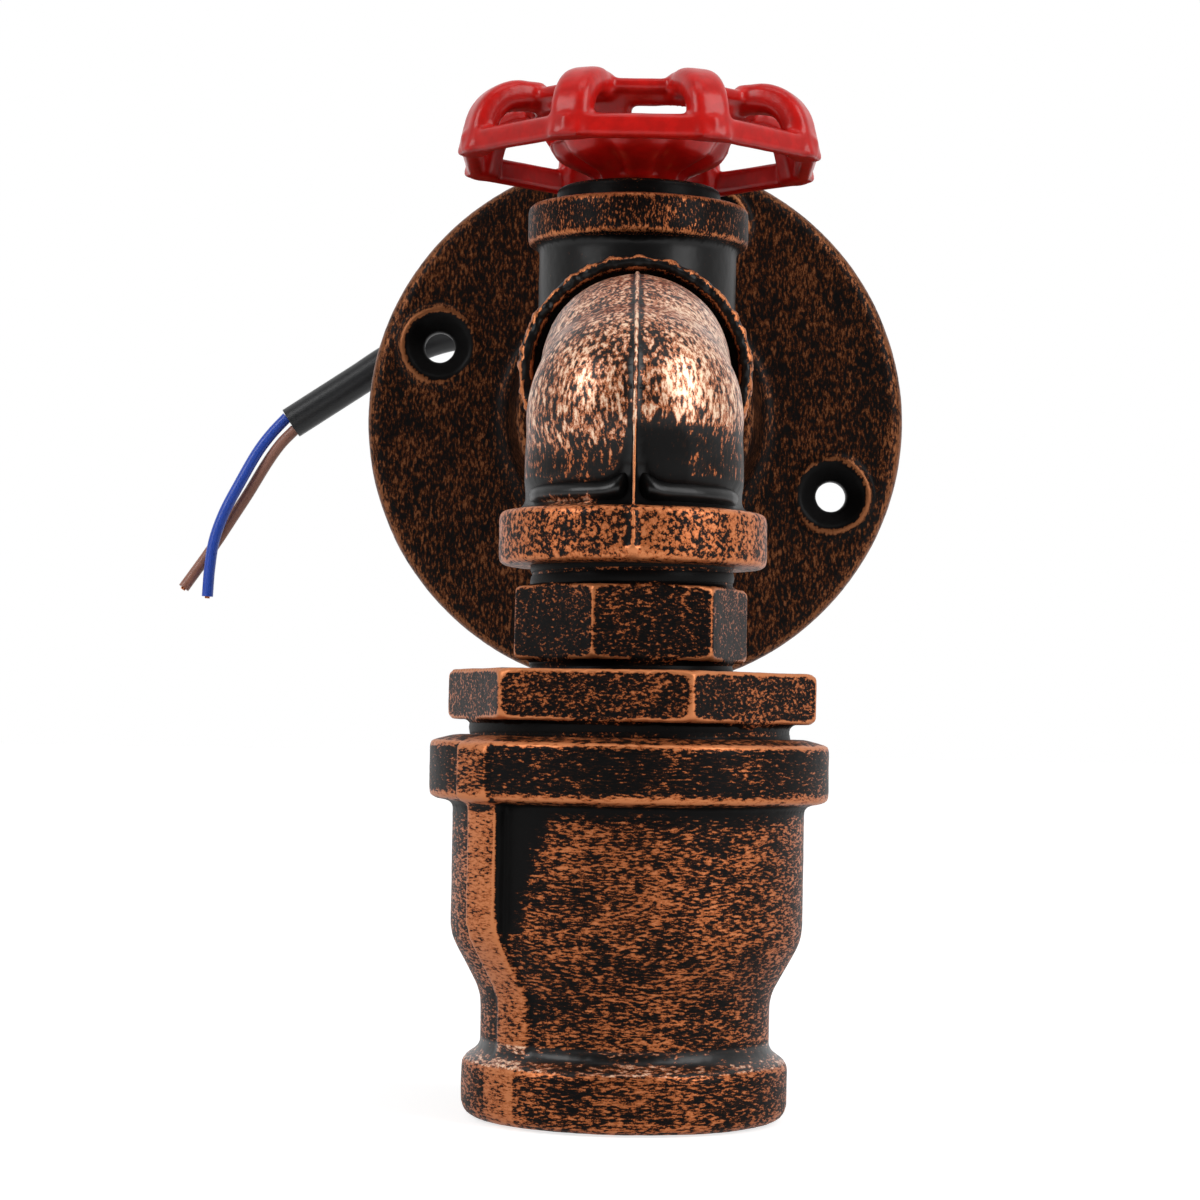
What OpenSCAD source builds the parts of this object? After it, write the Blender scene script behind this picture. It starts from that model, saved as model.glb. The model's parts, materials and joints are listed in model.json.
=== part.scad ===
// Wall light made of cast pipe fittings, with a handwheel switch and a screw lampholder.
// The wall is the plane y = 0, the room is towards -y, and z points up.
// The origin is the centre of the flange's back face.

/* [Wall flange] */
// Outer diameter of the flange
flange_d = 88; // [84:1:110]
// Thickness of the flange plate
flange_t = 6; // [5:0.5:9]
// Diameter of the flange hub
flange_hub_d = 40; // [36:1:44]
// Height of the flange from the wall to the hub face
flange_h = 17; // [16:1:24]
// Diameter of the circle of wall screws
screw_circle_d = 69; // [64:1:71]
// Number of wall screws
screw_count = 4; // [3:1:6]
// Diameter of a screw hole
screw_d = 5; // [4:0.5:6]
// Diameter of a countersink
sink_d = 10.5; // [9:0.5:12]
// Wall of the low boss round a screw hole
boss_wall = 1.3; // [0.8:0.1:2]
// How much thinner the flange plate is at its edge
edge_drop = 1.4; // [0.8:0.1:2]
// Turn of the first screw hole from the horizontal
screw_turn = -20; // [-45:1:45]

/* [Pipe thread] */
// Outside diameter of the pipe thread
pipe_d = 26.4; // [26:0.1:26.8]
// Bore of the pipe and of the fittings
pipe_bore_d = 20; // [18:0.5:21]
// Depth that a pipe thread is screwed in
thread_l = 12; // [10:0.5:13]
// Radial clearance between a male and a female thread
thread_gap = 0.05; // [0.02:0.01:0.1]
// Length of the wall nipple that shows between flange and tee
nipple_show = 5; // [2:1:20]

/* [Tee] */
// Distance from the tee's centre to each face
tee_reach = 27.5; // [27:0.5:32]
// Outside diameter of the tee's arms
tee_d = 29.5; // [29:0.5:31]
// Diameter of the tee's bands
tee_band_d = 33; // [32:0.5:36]
// Width of the tee's bands
tee_band_w = 6; // [5:0.5:8]
// Width of the chamfer at the tee's mouths
mouth_flare = 2; // [1:0.1:2.2]

/* [Street elbow] */
// Distance from the tee's face to the lamp axis
elbow_arm = 27; // [26:0.5:34]
// Distance from the run axis to the elbow's outlet face
elbow_reach = 29; // [28:0.5:34]
// Outside diameter of the elbow's outlet arm
elbow_d = 29; // [28.8:0.1:30.5]
// Outside diameter of the elbow's bend
bend_d = 26; // [25.4:0.1:26.6]
// Radius of the bend's centre line
bend_r = 14.6; // [14.5:0.1:15.5]
// How far the bend's outer form lies below its bore
bend_drop = 1.6; // [0.5:0.1:1.8]
// Diameter of the round heel of the bend
heel_d = 28.8; // [28.4:0.1:30]
// Depth of the heel's middle below the run axis
heel_z = 9; // [8:0.1:13]
// How far the heel stands in front of the outlet arm's axis
heel_shift = 2; // [0.5:0.1:2.5]
// Diameter of the elbow's band
elbow_band_d = 35.3; // [34:0.1:37]
// Height of the elbow's band
elbow_band_h = 7.2; // [6:0.1:8]
// Width of the casting seam on the elbow
seam_w = 1; // [0.6:0.1:1.6]
// Height of the casting seam
seam_h = 0.4; // [0.2:0.1:0.6]

/* [Hex nipple] */
// Width across the flats of the nipple's hexagon
nipple_af = 27.2; // [27:0.1:30]
// Height of the nipple's hexagon
nipple_hex_h = 9.7; // [8:0.1:14]
// Length of nipple that shows under the elbow
nipple_neck = 2.7; // [1:0.1:5]
// Turn of the nipple's hexagon
nipple_turn = 11.5; // [0:0.5:60]

/* [Hex bushing] */
// Gap between the nipple's hexagon and the bushing's
bushing_gap = 1.3; // [0.5:0.1:3]
// Width across the flats of the bushing's hexagon
bushing_af = 43; // [42.5:0.1:46]
// Height of the bushing's hexagon
bushing_hex_h = 6.6; // [5:0.1:9]
// Turn of the bushing's hexagon
bushing_turn = -11.8; // [-60:0.1:60]
// Outside diameter of the bushing's thread
bushing_d = 41.9; // [41.5:0.1:42.2]
// Length of the bushing's thread that shows above the bell
bushing_neck = 2; // [1:0.1:4]
// Length of the bushing's thread inside the bell
bushing_l = 13.8; // [12:0.1:15]

/* [Bell reducer] */
// Length of the bell
bell_l = 49.5; // [48:0.5:56]
// Diameter of the bell's upper band
bell_band_d = 52.4; // [50:0.1:56]
// Height of the bell's upper band
bell_band_h = 8.7; // [7:0.1:10]
// Diameter of the bell's body
bell_d = 46.1; // [45.6:0.1:48]
// Diameter of the bell's waist
waist_d = 37.8; // [37.4:0.1:39]
// Diameter of the bell's lower band
mouth_band_d = 42.6; // [41:0.1:46]
// Height of the bell's lower band
mouth_band_h = 7.4; // [6:0.1:8]
// Length from the bell's top to the start of its taper
taper_top = 26; // [25:0.1:26.5]
// Length of the taper
taper_l = 7.5; // [6:0.1:8]
// Bore of the bell's mouth
mouth_bore_d = 33.4; // [33:0.1:34]
// Width of the two ribs along the bell
rib_w = 6; // [4:0.5:8]
// Height of the ribs above the body
rib_h = 1.7; // [1:0.1:2.5]
// Turn of the first rib
rib_turn = -139; // [-180:1:180]
// Height of the ribs where they run out along the waist
rib_end_h = 0.4; // [0.2:0.1:1.2]
// Height of the ribs over the bell's upper band
rib_band_h = 0.5; // [0.2:0.1:1]

/* [Lampholder] */
// Depth of the lampholder's seat below the bell's top
seat_depth = 27.3; // [27:0.1:28]
// Inside diameter of the lamp's screw shell
shell_d = 26.5; // [26.3:0.1:26.8]
// Wall of the screw shell
shell_wall = 0.5; // [0.4:0.1:0.8]
// How far the lampholder's mouth lies inside the bell
mouth_recess = 1.2; // [0.5:0.1:3]
// Thickness of the lampholder's seat flange
holder_flange_t = 2.5; // [2:0.1:3.5]
// Height of the lampholder's contact base
base_h = 7; // [5:0.1:7.5]
// Radial clearance of the loose inner pieces
loose_gap = 0.2; // [0.1:0.05:0.3]

/* [Plug and switch] */
// Diameter of the plug's collar
plug_d = 24.5; // [24:0.1:26]
// Height of the plug above the tee
plug_h = 2.8; // [2:0.1:6]
// Thickness of the plug's end wall
plug_wall = 6.8; // [6:0.1:8]
// Diameter of the switch case
case_d = 17.6; // [17:0.1:18.5]
// Height of the switch case
case_h = 12.3; // [11.5:0.1:13]
// Outside diameter of the switch's threaded bush
bush_d = 10; // [9.5:0.1:11]
// Diameter of the stem in its bush
stem_d = 7; // [6.6:0.1:7.4]
// Radial running clearance of the stem
stem_gap = 0.05; // [0.02:0.01:0.1]

/* [Handwheel] */
// Radius over the handwheel's ribs
wheel_r = 28.4; // [27:0.1:34]
// Height of the handwheel from hub face to crests
wheel_h = 14; // [13.5:0.1:16]
// Height of the rim band's lower edge above the hub face
rim_z = 2.6; // [1:0.1:3.5]
// Height of the rim band's outer face
rim_h = 3; // [2.5:0.1:4]
// Rise of the rim band's top towards its inside
rim_rise = 0.8; // [0.5:0.1:1.8]
// Wall of the rim band
rim_wall = 2.4; // [2:0.1:3]
// Number of arched ribs round the rim
arch_count = 8; // [6:1:10]
// Thickness of an arched rib
arch_t = 4.2; // [3.5:0.1:4.6]
// Width of an arched rib
arch_w = 6; // [5:0.1:7]
// Rounding of an arched rib's edges
arch_edge = 1.6; // [1:0.1:1.7]
// Radius of an arched rib's bend
arch_bend = 6.1; // [5:0.1:6.5]
// Inward lean of an arched rib's leg
arch_lean = 13; // [5:0.5:15]
// Radius of the top ring, measured to its flats
ring_r = 17.4; // [16:0.1:18]
// Width of the top ring
ring_w = 2.6; // [2:0.1:4]
// Thickness of the top ring
ring_t = 1.8; // [1.4:0.1:2.5]
// Radius of the dish at its lower bend
dish_r = 12.2; // [11:0.1:13]
// Height of the dish's lower bend above the hub face
dish_z = 3.6; // [3:0.1:4.5]
// Wall of the dish
dish_t = 2.2; // [1.8:0.1:2.6]
// Number of slots in the dish
slot_count = 4; // [3:1:6]
// Turn of the middle of the first slot
slot_turn = 22.5; // [0:0.5:90]
// Angle that a slot takes
slot_sweep = 56; // [30:1:58]
// Height of the slots' lower edge above the hub face
slot_z = 5.8; // [5.5:0.1:6.5]
// Height of the slots
slot_h = 3.6; // [2:0.1:3.8]
// Diameter of the hub
hub_d = 13; // [11:0.1:14]
// Height of the hub
hub_h = 4.5; // [4.2:0.1:6]
// Bore of the hub
hub_bore_d = 6; // [5:0.1:6.4]
// Gap between the hub and the plug
hub_gap = 0.7; // [0.4:0.1:3]

/* [Cable] */
// Diameter of the cable's sheath
cable_d = 5.6; // [5.4:0.1:6.8]
// Diameter of an insulated core
core_d = 2; // [1.6:0.1:2.2]
// Distance of a core's axis from the cable's axis
core_offset = 1.3; // [1.2:0.05:1.5]
// How far the cable bush lies inside the wall plane
bush_recess = 0.5; // [0.2:0.1:1]

/* [Hidden] */
$fn = 64;

COPPER = [0.55, 0.30, 0.18];
ENAMEL = [0.80, 0.08, 0.07];
BLACK = [0.10, 0.10, 0.11];
STEEL = [0.70, 0.71, 0.73];
BRASS = [0.80, 0.65, 0.32];
CERAMIC = [0.90, 0.88, 0.83];
BLUE = [0.12, 0.27, 0.75];
BROWN = [0.55, 0.33, 0.27];

// Length that a cut runs past the face it opens
over = 1;
// Places along the run, from the wall to the lamp axis
tee_back_y = -(flange_h + nipple_show);
tee_y = tee_back_y - tee_reach;
tee_front_y = tee_y - tee_reach;
lamp_y = tee_front_y - elbow_arm;
elbow_run_l = elbow_arm - bend_r + heel_shift;

// Radii and depths of the pipe threads
thread_r = pipe_d / 2;
socket_r = thread_r + thread_gap;
socket_l = thread_l + 0.5;
bore_r = pipe_bore_d / 2;

// Heights down the lamp axis
outlet_z = -elbow_reach;
nipple_top_z = outlet_z - nipple_neck;
nipple_base_z = nipple_top_z - nipple_hex_h;
bushing_top_z = nipple_base_z - bushing_gap;
bushing_base_z = bushing_top_z - bushing_hex_h;
bell_top_z = bushing_base_z - bushing_neck;
bushing_end_z = bell_top_z - bushing_l;
bell_end_z = bell_top_z - bell_l;

// Lampholder, from its seat in the bell
seat_z = bell_top_z - seat_depth;
holder_top_z = seat_z + holder_flange_t;
base_top_z = holder_top_z + base_h;
holder_mouth_z = bell_end_z + mouth_recess;
shell_r = shell_d / 2;
holder_bore_r = shell_r + shell_wall + thread_gap;
holder_r = mouth_bore_d / 2 - loose_gap;
holder_floor_z = holder_top_z - 1.5;
shell_seat_z = holder_floor_z - 3;
contact_room_r = 8;
chamber_r = bushing_d / 2 - 1.4;
holder_flange_r = chamber_r - loose_gap;
ring_in_r = holder_flange_r - 2.8;
contact_r = 2.5;
contact_head_r = 4;
contact_head_t = 1.2;
contact_drop = 2.5;
terminal_x = 6;
terminal_w = 5;
terminal_h = bushing_end_z - base_top_z;
terminal_top_z = base_top_z + terminal_h;
terminal_screw_d = 3;
terminal_screw_l = 2.5;
bushing_bore_r = 11.5;

// Plug and switch, from the plug's top down
plug_top_z = tee_reach + plug_h;
plug_floor_z = plug_top_z - plug_wall;
plug_skirt_r = case_d / 2 + 2 * loose_gap;
nut_h = 2;
nut_af = 14;
nut_recess = nut_h + 0.2;
nut_recess_r = nut_af / sqrt(3) + loose_gap;
bush_flange_r = 7.5;
bush_flange_t = 1.2;
case_top_z = plug_floor_z - bush_flange_t;
case_end_z = case_top_z - case_h;
case_wall = 2;
case_roof = 3.3;
rotor_r = case_d / 2 - case_wall - 0.8;
rotor_h = 4;
rotor_w = 9;
rotor_lift = 0.3;
rotor_top_z = case_top_z - case_roof - rotor_lift;
stem_end_z = rotor_top_z - rotor_h - 1;
cover_t = 2;
tab_x = 4.5;
tab_w = 4;
tab_h = 3;
tab_base_z = case_end_z - cover_t - tab_h;
bush_top_z = plug_top_z - 0.2;

// Handwheel, from its hub face
wheel_z = plug_top_z + hub_gap;
arch_r = arch_t / 2;
arch_foot_r = wheel_r - arch_r / cos(arch_lean);
arch_top_z = wheel_z + wheel_h - arch_r;
rim_low_z = wheel_z + rim_z;
rim_flat_r = wheel_r * cos(180 / arch_count);
arch_bend_z = arch_top_z - arch_bend;
run_inset = 0.1;
run_lap = 1;
arch_foot_l = (arch_bend_z - rim_low_z + arch_bend * sin(arch_lean)) / cos(arch_lean);
arch_leg_l = arch_foot_l + arch_t * tan(arch_lean);
arch_bend_r = arch_foot_r - arch_bend * cos(arch_lean) - arch_foot_l * sin(arch_lean);
ring_top_z = arch_top_z + arch_r - 1.2;
ring_low_z = ring_top_z - ring_t;
ring_in = ring_r - ring_w;
dish_top_z = (ring_low_z + ring_top_z) / 2;
dish_top_r = ring_r - 0.6;
washer_t = 1.2;
washer_d = 13;
wheel_nut_af = 10;
wheel_nut_h = 4;
stem_show = 0.6;
hub_top_z = wheel_z + hub_h;
nut_base_z = hub_top_z + washer_t;
stem_top_z = nut_base_z + wheel_nut_h + stem_show;
tip_d = hub_bore_d - 2 * stem_gap;

// Cable bush and cable
nipple_back_y = -3;
bush_face_y = -bush_recess;
grommet_l = 5;
cable_r = cable_d / 2;
core_r = core_d / 2;
cable_stop = 12;
cable_end_y = tee_y + cable_stop;
inner_core_r = 1.1;

// Route of the free cable, from the bush to the end of its sheath
CABLE_ROUTE = [
    [0, bush_face_y, 0], [0, 2, 0], [0, 5, 0], [-1, 12.5, 1], [-3, 19, 3.5], [-6.5, 25, 7],
    [-11, 28.5, 12], [-18, 31.5, 17], [-26.5, 34, 19], [-35, 35.5, 18], [-43, 36, 14.5],
    [-49, 36, 10.5], [-55, 36, 6.5], [-61, 36, 2.5]
];
cable_tip = CABLE_ROUTE[len(CABLE_ROUTE) - 1];
cable_way = unit(cable_tip - CABLE_ROUTE[len(CABLE_ROUTE) - 2]);
cable_side = unit(cross([0, 1, 0], cable_way));
// Routes of the two cores after the first point, which lies in the sheath's end
BLUE_ROUTE = [
    [-64.5, 36, 0.5], [-67, 36, -3], [-70, 36, -8.5], [-72.5, 36, -13.5], [-74.2, 36, -18.5],
    [-74.9, 36, -23.5], [-75.2, 36, -28.5]
];
BROWN_ROUTE = [
    [-62.8, 36.3, -1.2], [-65.3, 37.2, -4.6], [-68.5, 38.2, -9.8], [-71.5, 38.6, -14.5],
    [-74, 38.5, -18.5], [-76.6, 38, -22.5], [-79.6, 37.2, -27]
];
// Routes of the inner leads, from the cable's end and the switch to the lampholder
lead_x = 3;
lead_dip = 8;
lead_turn = cable_stop / 2;
LIVE_ROUTE = curve(
    [-core_offset, cable_end_y, 0], [0, -lead_turn, 0], [0, 0, -lead_turn], [-tab_x, tee_y, tab_base_z]
);
SWITCHED_ROUTE = concat(
    curve([tab_x, tee_y, tab_base_z], [0, 0, -lead_turn], [0, lead_turn, 0], [lead_x, tee_front_y, 0]),
    down_lead(lead_x, terminal_x)
);
NEUTRAL_ROUTE = concat(
    curve(
        [core_offset, cable_end_y, 0], [0, -cable_stop, -lead_dip], [0, cable_stop, -lead_dip],
        [-lead_x, tee_front_y, 0]
    ),
    down_lead(-lead_x, -terminal_x)
);

// Profiles are lists of [radius, height, fillet]
function unit(v) = v / norm(v);
function flat2(p) = [p[0], p[1]];
// A curve from a to b that leaves along u and comes in from b + w
function curve(a, u, w, b, n = 8) = [
    for (i = [0:n])
        let (t = i / n, s = 1 - t)
        pow(s, 3) * a + 3 * s * s * t * (a + u) + 3 * s * t * t * (b + w) + pow(t, 3) * b
];
function tail(list) = [for (i = [1:len(list) - 1]) list[i]];
// The way of a lead from the tee's face round the elbow and down to a lampholder terminal
function down_lead(x, end_x) =
    let (a = [x, tee_front_y, 0], b = [x, lamp_y, outlet_z], c = [end_x, lamp_y, terminal_top_z])
    let (ease = (outlet_z - terminal_top_z) / 3)
    concat(
        tail(curve(a, [0, -0.9 * elbow_arm, 0], [0, 0, 0.7 * elbow_reach], b)),
        tail(curve(b, [0, 0, -ease], [0, 0, ease], c))
    );
function turn_between(a, b) = (b - a + 540) % 360 - 180;
function arc_points(c, s, e, r, n) =
    let (a = atan2(s[1] - c[1], s[0] - c[0]))
    let (t = turn_between(a, atan2(e[1] - c[1], e[0] - c[0])))
    [for (i = [0:n]) c + r * [cos(a + t * i / n), sin(a + t * i / n)]];
function fillet_at(a, p, b, r, n) =
    let (u = unit(a - p), w = unit(b - p))
    let (half = acos(u * w) / 2)
    arc_points(p + unit(u + w) * r / sin(half), p + u * r / tan(half), p + w * r / tan(half), r, n);
function rounded(pts, n = 4) = [
    for (i = [0:len(pts) - 1])
        let (p = pts[i], a = pts[(i + len(pts) - 1) % len(pts)], b = pts[(i + 1) % len(pts)])
        each p[2] == 0 ? [flat2(p)] : fillet_at(flat2(a), flat2(p), flat2(b), p[2], n)
];

// A tube swept along a route, with its rings carried along without twist
function along(pts, i, first, last) =
    i == 0 ? first : i == len(pts) - 1 ? last : unit(unit(pts[i + 1] - pts[i]) + unit(pts[i] - pts[i - 1]));
function square_to(v, t) = unit(v - (v * t) * t);
function rings(pts, r, sides, first, last) =
    let (seed = abs(first[2]) < 0.9 ? [0, 0, 1] : [1, 0, 0])
    let (sideways = [
        for (i = 0, n = square_to(seed, first); i < len(pts);
             i = i + 1, n = i < len(pts) ? square_to(n, along(pts, i, first, last)) : n) n
    ])
    [for (i = [0:len(pts) - 1], k = [0:sides - 1])
        let (n = sideways[i], b = cross(along(pts, i, first, last), n))
        pts[i] + r * (cos(360 * k / sides) * n + sin(360 * k / sides) * b)];

module sweep(pts, r, sides, first = undef, last = undef) {
    start_way = is_undef(first) ? unit(pts[1] - pts[0]) : first;
    end_way = is_undef(last) ? unit(pts[len(pts) - 1] - pts[len(pts) - 2]) : last;
    top = (len(pts) - 1) * sides;
    walls = [for (i = [0:len(pts) - 2], k = [0:sides - 1])
        let (a = i * sides + k, b = i * sides + (k + 1) % sides)
        each [[a, a + sides, b], [b, a + sides, b + sides]]];
    ends = [for (k = [1:sides - 2]) each [[0, k, k + 1], [top, top + k + 1, top + k]]];
    polyhedron(rings(pts, r, sides, start_way, end_way), concat(walls, ends));
}

// Turns a shape that stands on z so that it stands out from the wall
module along_run(y = 0) {
    translate([0, y, 0]) rotate([90, 0, 0]) children();
}

// Moves a shape to the lamp axis
module on_lamp_axis(z = 0) {
    translate([0, lamp_y, z]) children();
}

// Moves a shape to the handwheel's axis
module on_wheel_axis(z = 0) {
    translate([0, tee_y, z]) children();
}

module revolve(pts) {
    rotate_extrude() polygon(rounded(pts));
}

// A ring or a tube between two heights
module tube(r_out, r_in, h) {
    difference() {
        cylinder(r = r_out, h = h);
        translate([0, 0, -over]) cylinder(r = r_in, h = h + 2 * over);
    }
}

// A hexagon with its corners chamfered at both ends
module hexagon(af, h, chamfer) {
    corner_r = af / sqrt(3);
    intersection() {
        cylinder(r = corner_r, h = h, $fn = 6);
        rotate_extrude() polygon([
            [0, 0], [corner_r - chamfer, 0], [corner_r, chamfer * 0.6],
            [corner_r, h - chamfer * 0.6], [corner_r - chamfer, h], [0, h]
        ]);
    }
}

module wall_flange() {
    plate_edge = flange_t - edge_drop;
    boss_h = flange_t - 0.3;
    color(COPPER) along_run() difference() {
        union() {
            revolve([
                [0, 0, 0], [flange_d / 2, 0, 0.8], [flange_d / 2, plate_edge, 2.2],
                [flange_hub_d / 2 + 1, flange_t, 3], [flange_hub_d / 2 - 1, flange_h, 1.4], [0, flange_h, 0]
            ]);
            screw_places() cylinder(d = sink_d + 2 * boss_wall, h = boss_h);
        }
        translate([0, 0, -over]) cylinder(r = socket_r, h = flange_h + 2 * over);
        screw_places() {
            sink_depth = (sink_d - screw_d) / 2;
            translate([0, 0, -over]) cylinder(d = screw_d, h = flange_t + 2 * over);
            translate([0, 0, boss_h - sink_depth]) {
                cylinder(d1 = screw_d, d2 = sink_d + 2 * over, h = sink_depth + over);
            }
        }
    }
}

// The wall screws' places on the flange
module screw_places() {
    for (i = [0:screw_count - 1]) {
        turn = screw_turn + i * 360 / screw_count;
        translate([screw_circle_d / 2 * cos(turn), screw_circle_d / 2 * sin(turn), 0]) children();
    }
}

module wall_nipple() {
    nipple_l = nipple_back_y - tee_back_y + thread_l;
    color(COPPER) along_run(nipple_back_y) tube(thread_r, bore_r, nipple_l);
}

module cable_grommet() {
    head_t = -nipple_back_y - bush_recess;
    color(BLACK) along_run(bush_face_y) difference() {
        union() {
            cylinder(r = thread_r - loose_gap, h = head_t);
            cylinder(r = bore_r - thread_gap, h = head_t + grommet_l);
        }
        translate([0, 0, -over]) cylinder(r = cable_r + thread_gap, h = head_t + grommet_l + 2 * over);
    }
}

// One arm of the tee, from its centre to its banded face
module tee_arm() {
    band_z = tee_reach - tee_band_w;
    revolve([
        [0, 0, 0], [tee_d / 2, 0, 0], [tee_d / 2, band_z, 1], [tee_band_d / 2, band_z, 0.8],
        [tee_band_d / 2, tee_reach, 0.8], [0, tee_reach, 0]
    ]);
}

module tee_bore() {
    cylinder(r = bore_r + 1, h = tee_reach);
    translate([0, 0, tee_reach - socket_l]) cylinder(r = socket_r, h = socket_l + over);
    translate([0, 0, tee_reach - mouth_flare]) {
        cylinder(r1 = socket_r, r2 = socket_r + mouth_flare + over, h = mouth_flare + over);
    }
}

module tee() {
    color(COPPER) on_wheel_axis() difference() {
        union() {
            tee_arm();
            rotate([90, 0, 0]) tee_arm();
            rotate([-90, 0, 0]) tee_arm();
        }
        tee_bore();
        rotate([90, 0, 0]) tee_bore();
        rotate([-90, 0, 0]) tee_bore();
    }
}

module bonnet_plug() {
    skirt_z = tee_reach - thread_l;
    color(BLACK) on_wheel_axis() difference() {
        union() {
            translate([0, 0, skirt_z]) cylinder(r = thread_r, h = thread_l);
            revolve([
                [0, tee_reach - over, 0], [plug_d / 2, tee_reach - over, 0],
                [plug_d / 2, plug_top_z, 0.7], [0, plug_top_z, 0]
            ]);
        }
        translate([0, 0, skirt_z - over]) cylinder(r = plug_skirt_r, h = plug_floor_z - skirt_z + over);
        cylinder(r = bush_d / 2 + loose_gap, h = plug_top_z + over);
        translate([0, 0, plug_top_z - nut_recess]) cylinder(r = nut_recess_r, h = nut_recess + over);
    }
}

module switch_bush() {
    color(BRASS) on_wheel_axis(case_top_z) difference() {
        union() {
            cylinder(r = bush_flange_r, h = bush_flange_t);
            cylinder(d = bush_d, h = bush_top_z - case_top_z);
        }
        translate([0, 0, -over]) {
            cylinder(r = stem_d / 2 + stem_gap, h = bush_top_z - case_top_z + 2 * over);
        }
    }
}

module switch_nut() {
    color(BRASS) on_wheel_axis(plug_top_z - nut_recess) difference() {
        hexagon(nut_af, nut_h, 0.6);
        translate([0, 0, -over]) cylinder(r = bush_d / 2 + thread_gap, h = nut_h + 2 * over);
    }
}

module switch_case() {
    color(BLACK) on_wheel_axis(case_end_z) difference() {
        revolve([[0, 0, 0], [case_d / 2, 0, 0], [case_d / 2, case_h, 1], [0, case_h, 0]]);
        translate([0, 0, -over]) cylinder(r = case_d / 2 - case_wall, h = case_h - case_roof + over);
        cylinder(r = stem_d / 2 + loose_gap, h = case_h + over);
    }
}

module switch_cover() {
    color(BLACK) on_wheel_axis(case_end_z - cover_t) {
        revolve([[0, 0, 0], [case_d / 2, 0, 0.8], [case_d / 2, cover_t, 0], [0, cover_t, 0]]);
    }
}

module switch_terminals() {
    color(BRASS) on_wheel_axis(tab_base_z) {
        for (side = [-1, 1]) {
            translate([side * tab_x - tab_w / 2, -tab_w / 2, 0]) cube([tab_w, tab_w, tab_h]);
        }
    }
}

module switch_rotor() {
    color(CERAMIC) on_wheel_axis(rotor_top_z - rotor_h) difference() {
        intersection() {
            cylinder(r = rotor_r, h = rotor_h);
            translate([-rotor_r, -rotor_w / 2, 0]) cube([2 * rotor_r, rotor_w, rotor_h]);
        }
        translate([0, 0, -over]) cylinder(r = stem_d / 2 + stem_gap, h = rotor_h + 2 * over);
    }
}

module stem() {
    color(STEEL) on_wheel_axis() revolve([
        [0, stem_end_z, 0], [stem_d / 2, stem_end_z, 0.4], [stem_d / 2, wheel_z, 0],
        [tip_d / 2, wheel_z, 0], [tip_d / 2, stem_top_z, 0.5], [0, stem_top_z, 0]
    ]);
}

// The section of an arched rib, which has rounded edges, drawn smaller by an inset
module arch_section(inset = 0) {
    x = arch_r - inset;
    y = arch_w / 2 - inset;
    polygon(rounded([[-x, -y, arch_edge], [x, -y, arch_edge], [x, y, arch_edge], [-x, y, arch_edge]]));
}

// A rib of the wheel: a leaning leg at the rim, a bend over the crest and a run in to the top ring
module arch() {
    run_l = arch_bend_r - ring_in - ring_w / 2;
    difference() {
        translate([arch_bend_r, 0, arch_bend_z]) rotate([90, 0, 0]) {
            rotate(arch_lean) translate([arch_bend, 0, 0]) rotate([90, 0, 0]) {
                linear_extrude(arch_leg_l) arch_section();
            }
            rotate(arch_lean) rotate_extrude(angle = 90 - arch_lean) translate([arch_bend, 0]) arch_section();
            translate([run_lap, arch_bend, 0]) rotate([0, -90, 0]) {
                linear_extrude(run_l + run_lap) rotate(90) arch_section(run_inset);
            }
        }
        translate([0, -arch_w, rim_low_z - 2 * arch_w]) cube([wheel_r + arch_w, 2 * arch_w, 2 * arch_w]);
    }
}

// A ring with flat sides, one between each pair of ribs, whose top rises towards its inside
module flat_ring(flat_r, wall, h, rise = 0) {
    outer_r = flat_r / cos(180 / arch_count);
    inner_r = (flat_r - wall) / cos(180 / arch_count);
    slope = atan(rise / wall);
    difference() {
        cylinder(r = outer_r, h = h + rise, $fn = arch_count);
        translate([0, 0, -over]) cylinder(r = inner_r, h = h + rise + 2 * over, $fn = arch_count);
        if (rise > 0) for (i = [0:arch_count - 1]) rotate((i + 0.5) * 360 / arch_count) {
            translate([flat_r, 0, h]) rotate([0, slope, 0]) translate([-2 * wall, -flat_r, 0]) {
                cube([4 * wall, 2 * flat_r, 4 * rise]);
            }
        }
    }
}

// The dish between the hub and the top ring, with its slots
module dish() {
    bend_z = wheel_z + dish_z;
    hub_r = hub_d / 2;
    difference() {
        revolve([
            [0, wheel_z, 0], [hub_r, wheel_z, 0.5], [hub_r + 0.6, wheel_z + 1.3, 1], [dish_r, bend_z, 3],
            [dish_top_r, ring_low_z, 0], [dish_top_r, dish_top_z, 0],
            [dish_top_r - 1.1 * dish_t, dish_top_z, 0],
            [dish_r - 0.7 * dish_t, bend_z + 0.8 * dish_t, 1.5], [hub_r + 0.3, hub_top_z - 1, 0.8],
            [hub_r - 0.7, hub_top_z, 0], [0, hub_top_z, 0]
        ]);
        for (i = [0:slot_count - 1]) rotate(slot_turn - slot_sweep / 2 + i * 360 / slot_count) {
            translate([0, 0, wheel_z + slot_z]) rotate_extrude(angle = slot_sweep) {
                translate([dish_r - 2 * dish_t, 0]) square([ring_r - dish_r + 2 * dish_t, slot_h]);
            }
        }
    }
}

module handwheel() {
    color(ENAMEL) on_wheel_axis() difference() {
        union() {
            rotate(180 / arch_count) {
                for (i = [0:arch_count - 1]) rotate(i * 360 / arch_count) arch();
                translate([0, 0, rim_low_z]) flat_ring(rim_flat_r, rim_wall, rim_h, rim_rise);
                translate([0, 0, ring_low_z]) flat_ring(ring_r, ring_w, ring_t);
            }
            dish();
        }
        translate([0, 0, wheel_z - over]) cylinder(d = hub_bore_d, h = hub_h + 2 * over);
    }
}

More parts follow.
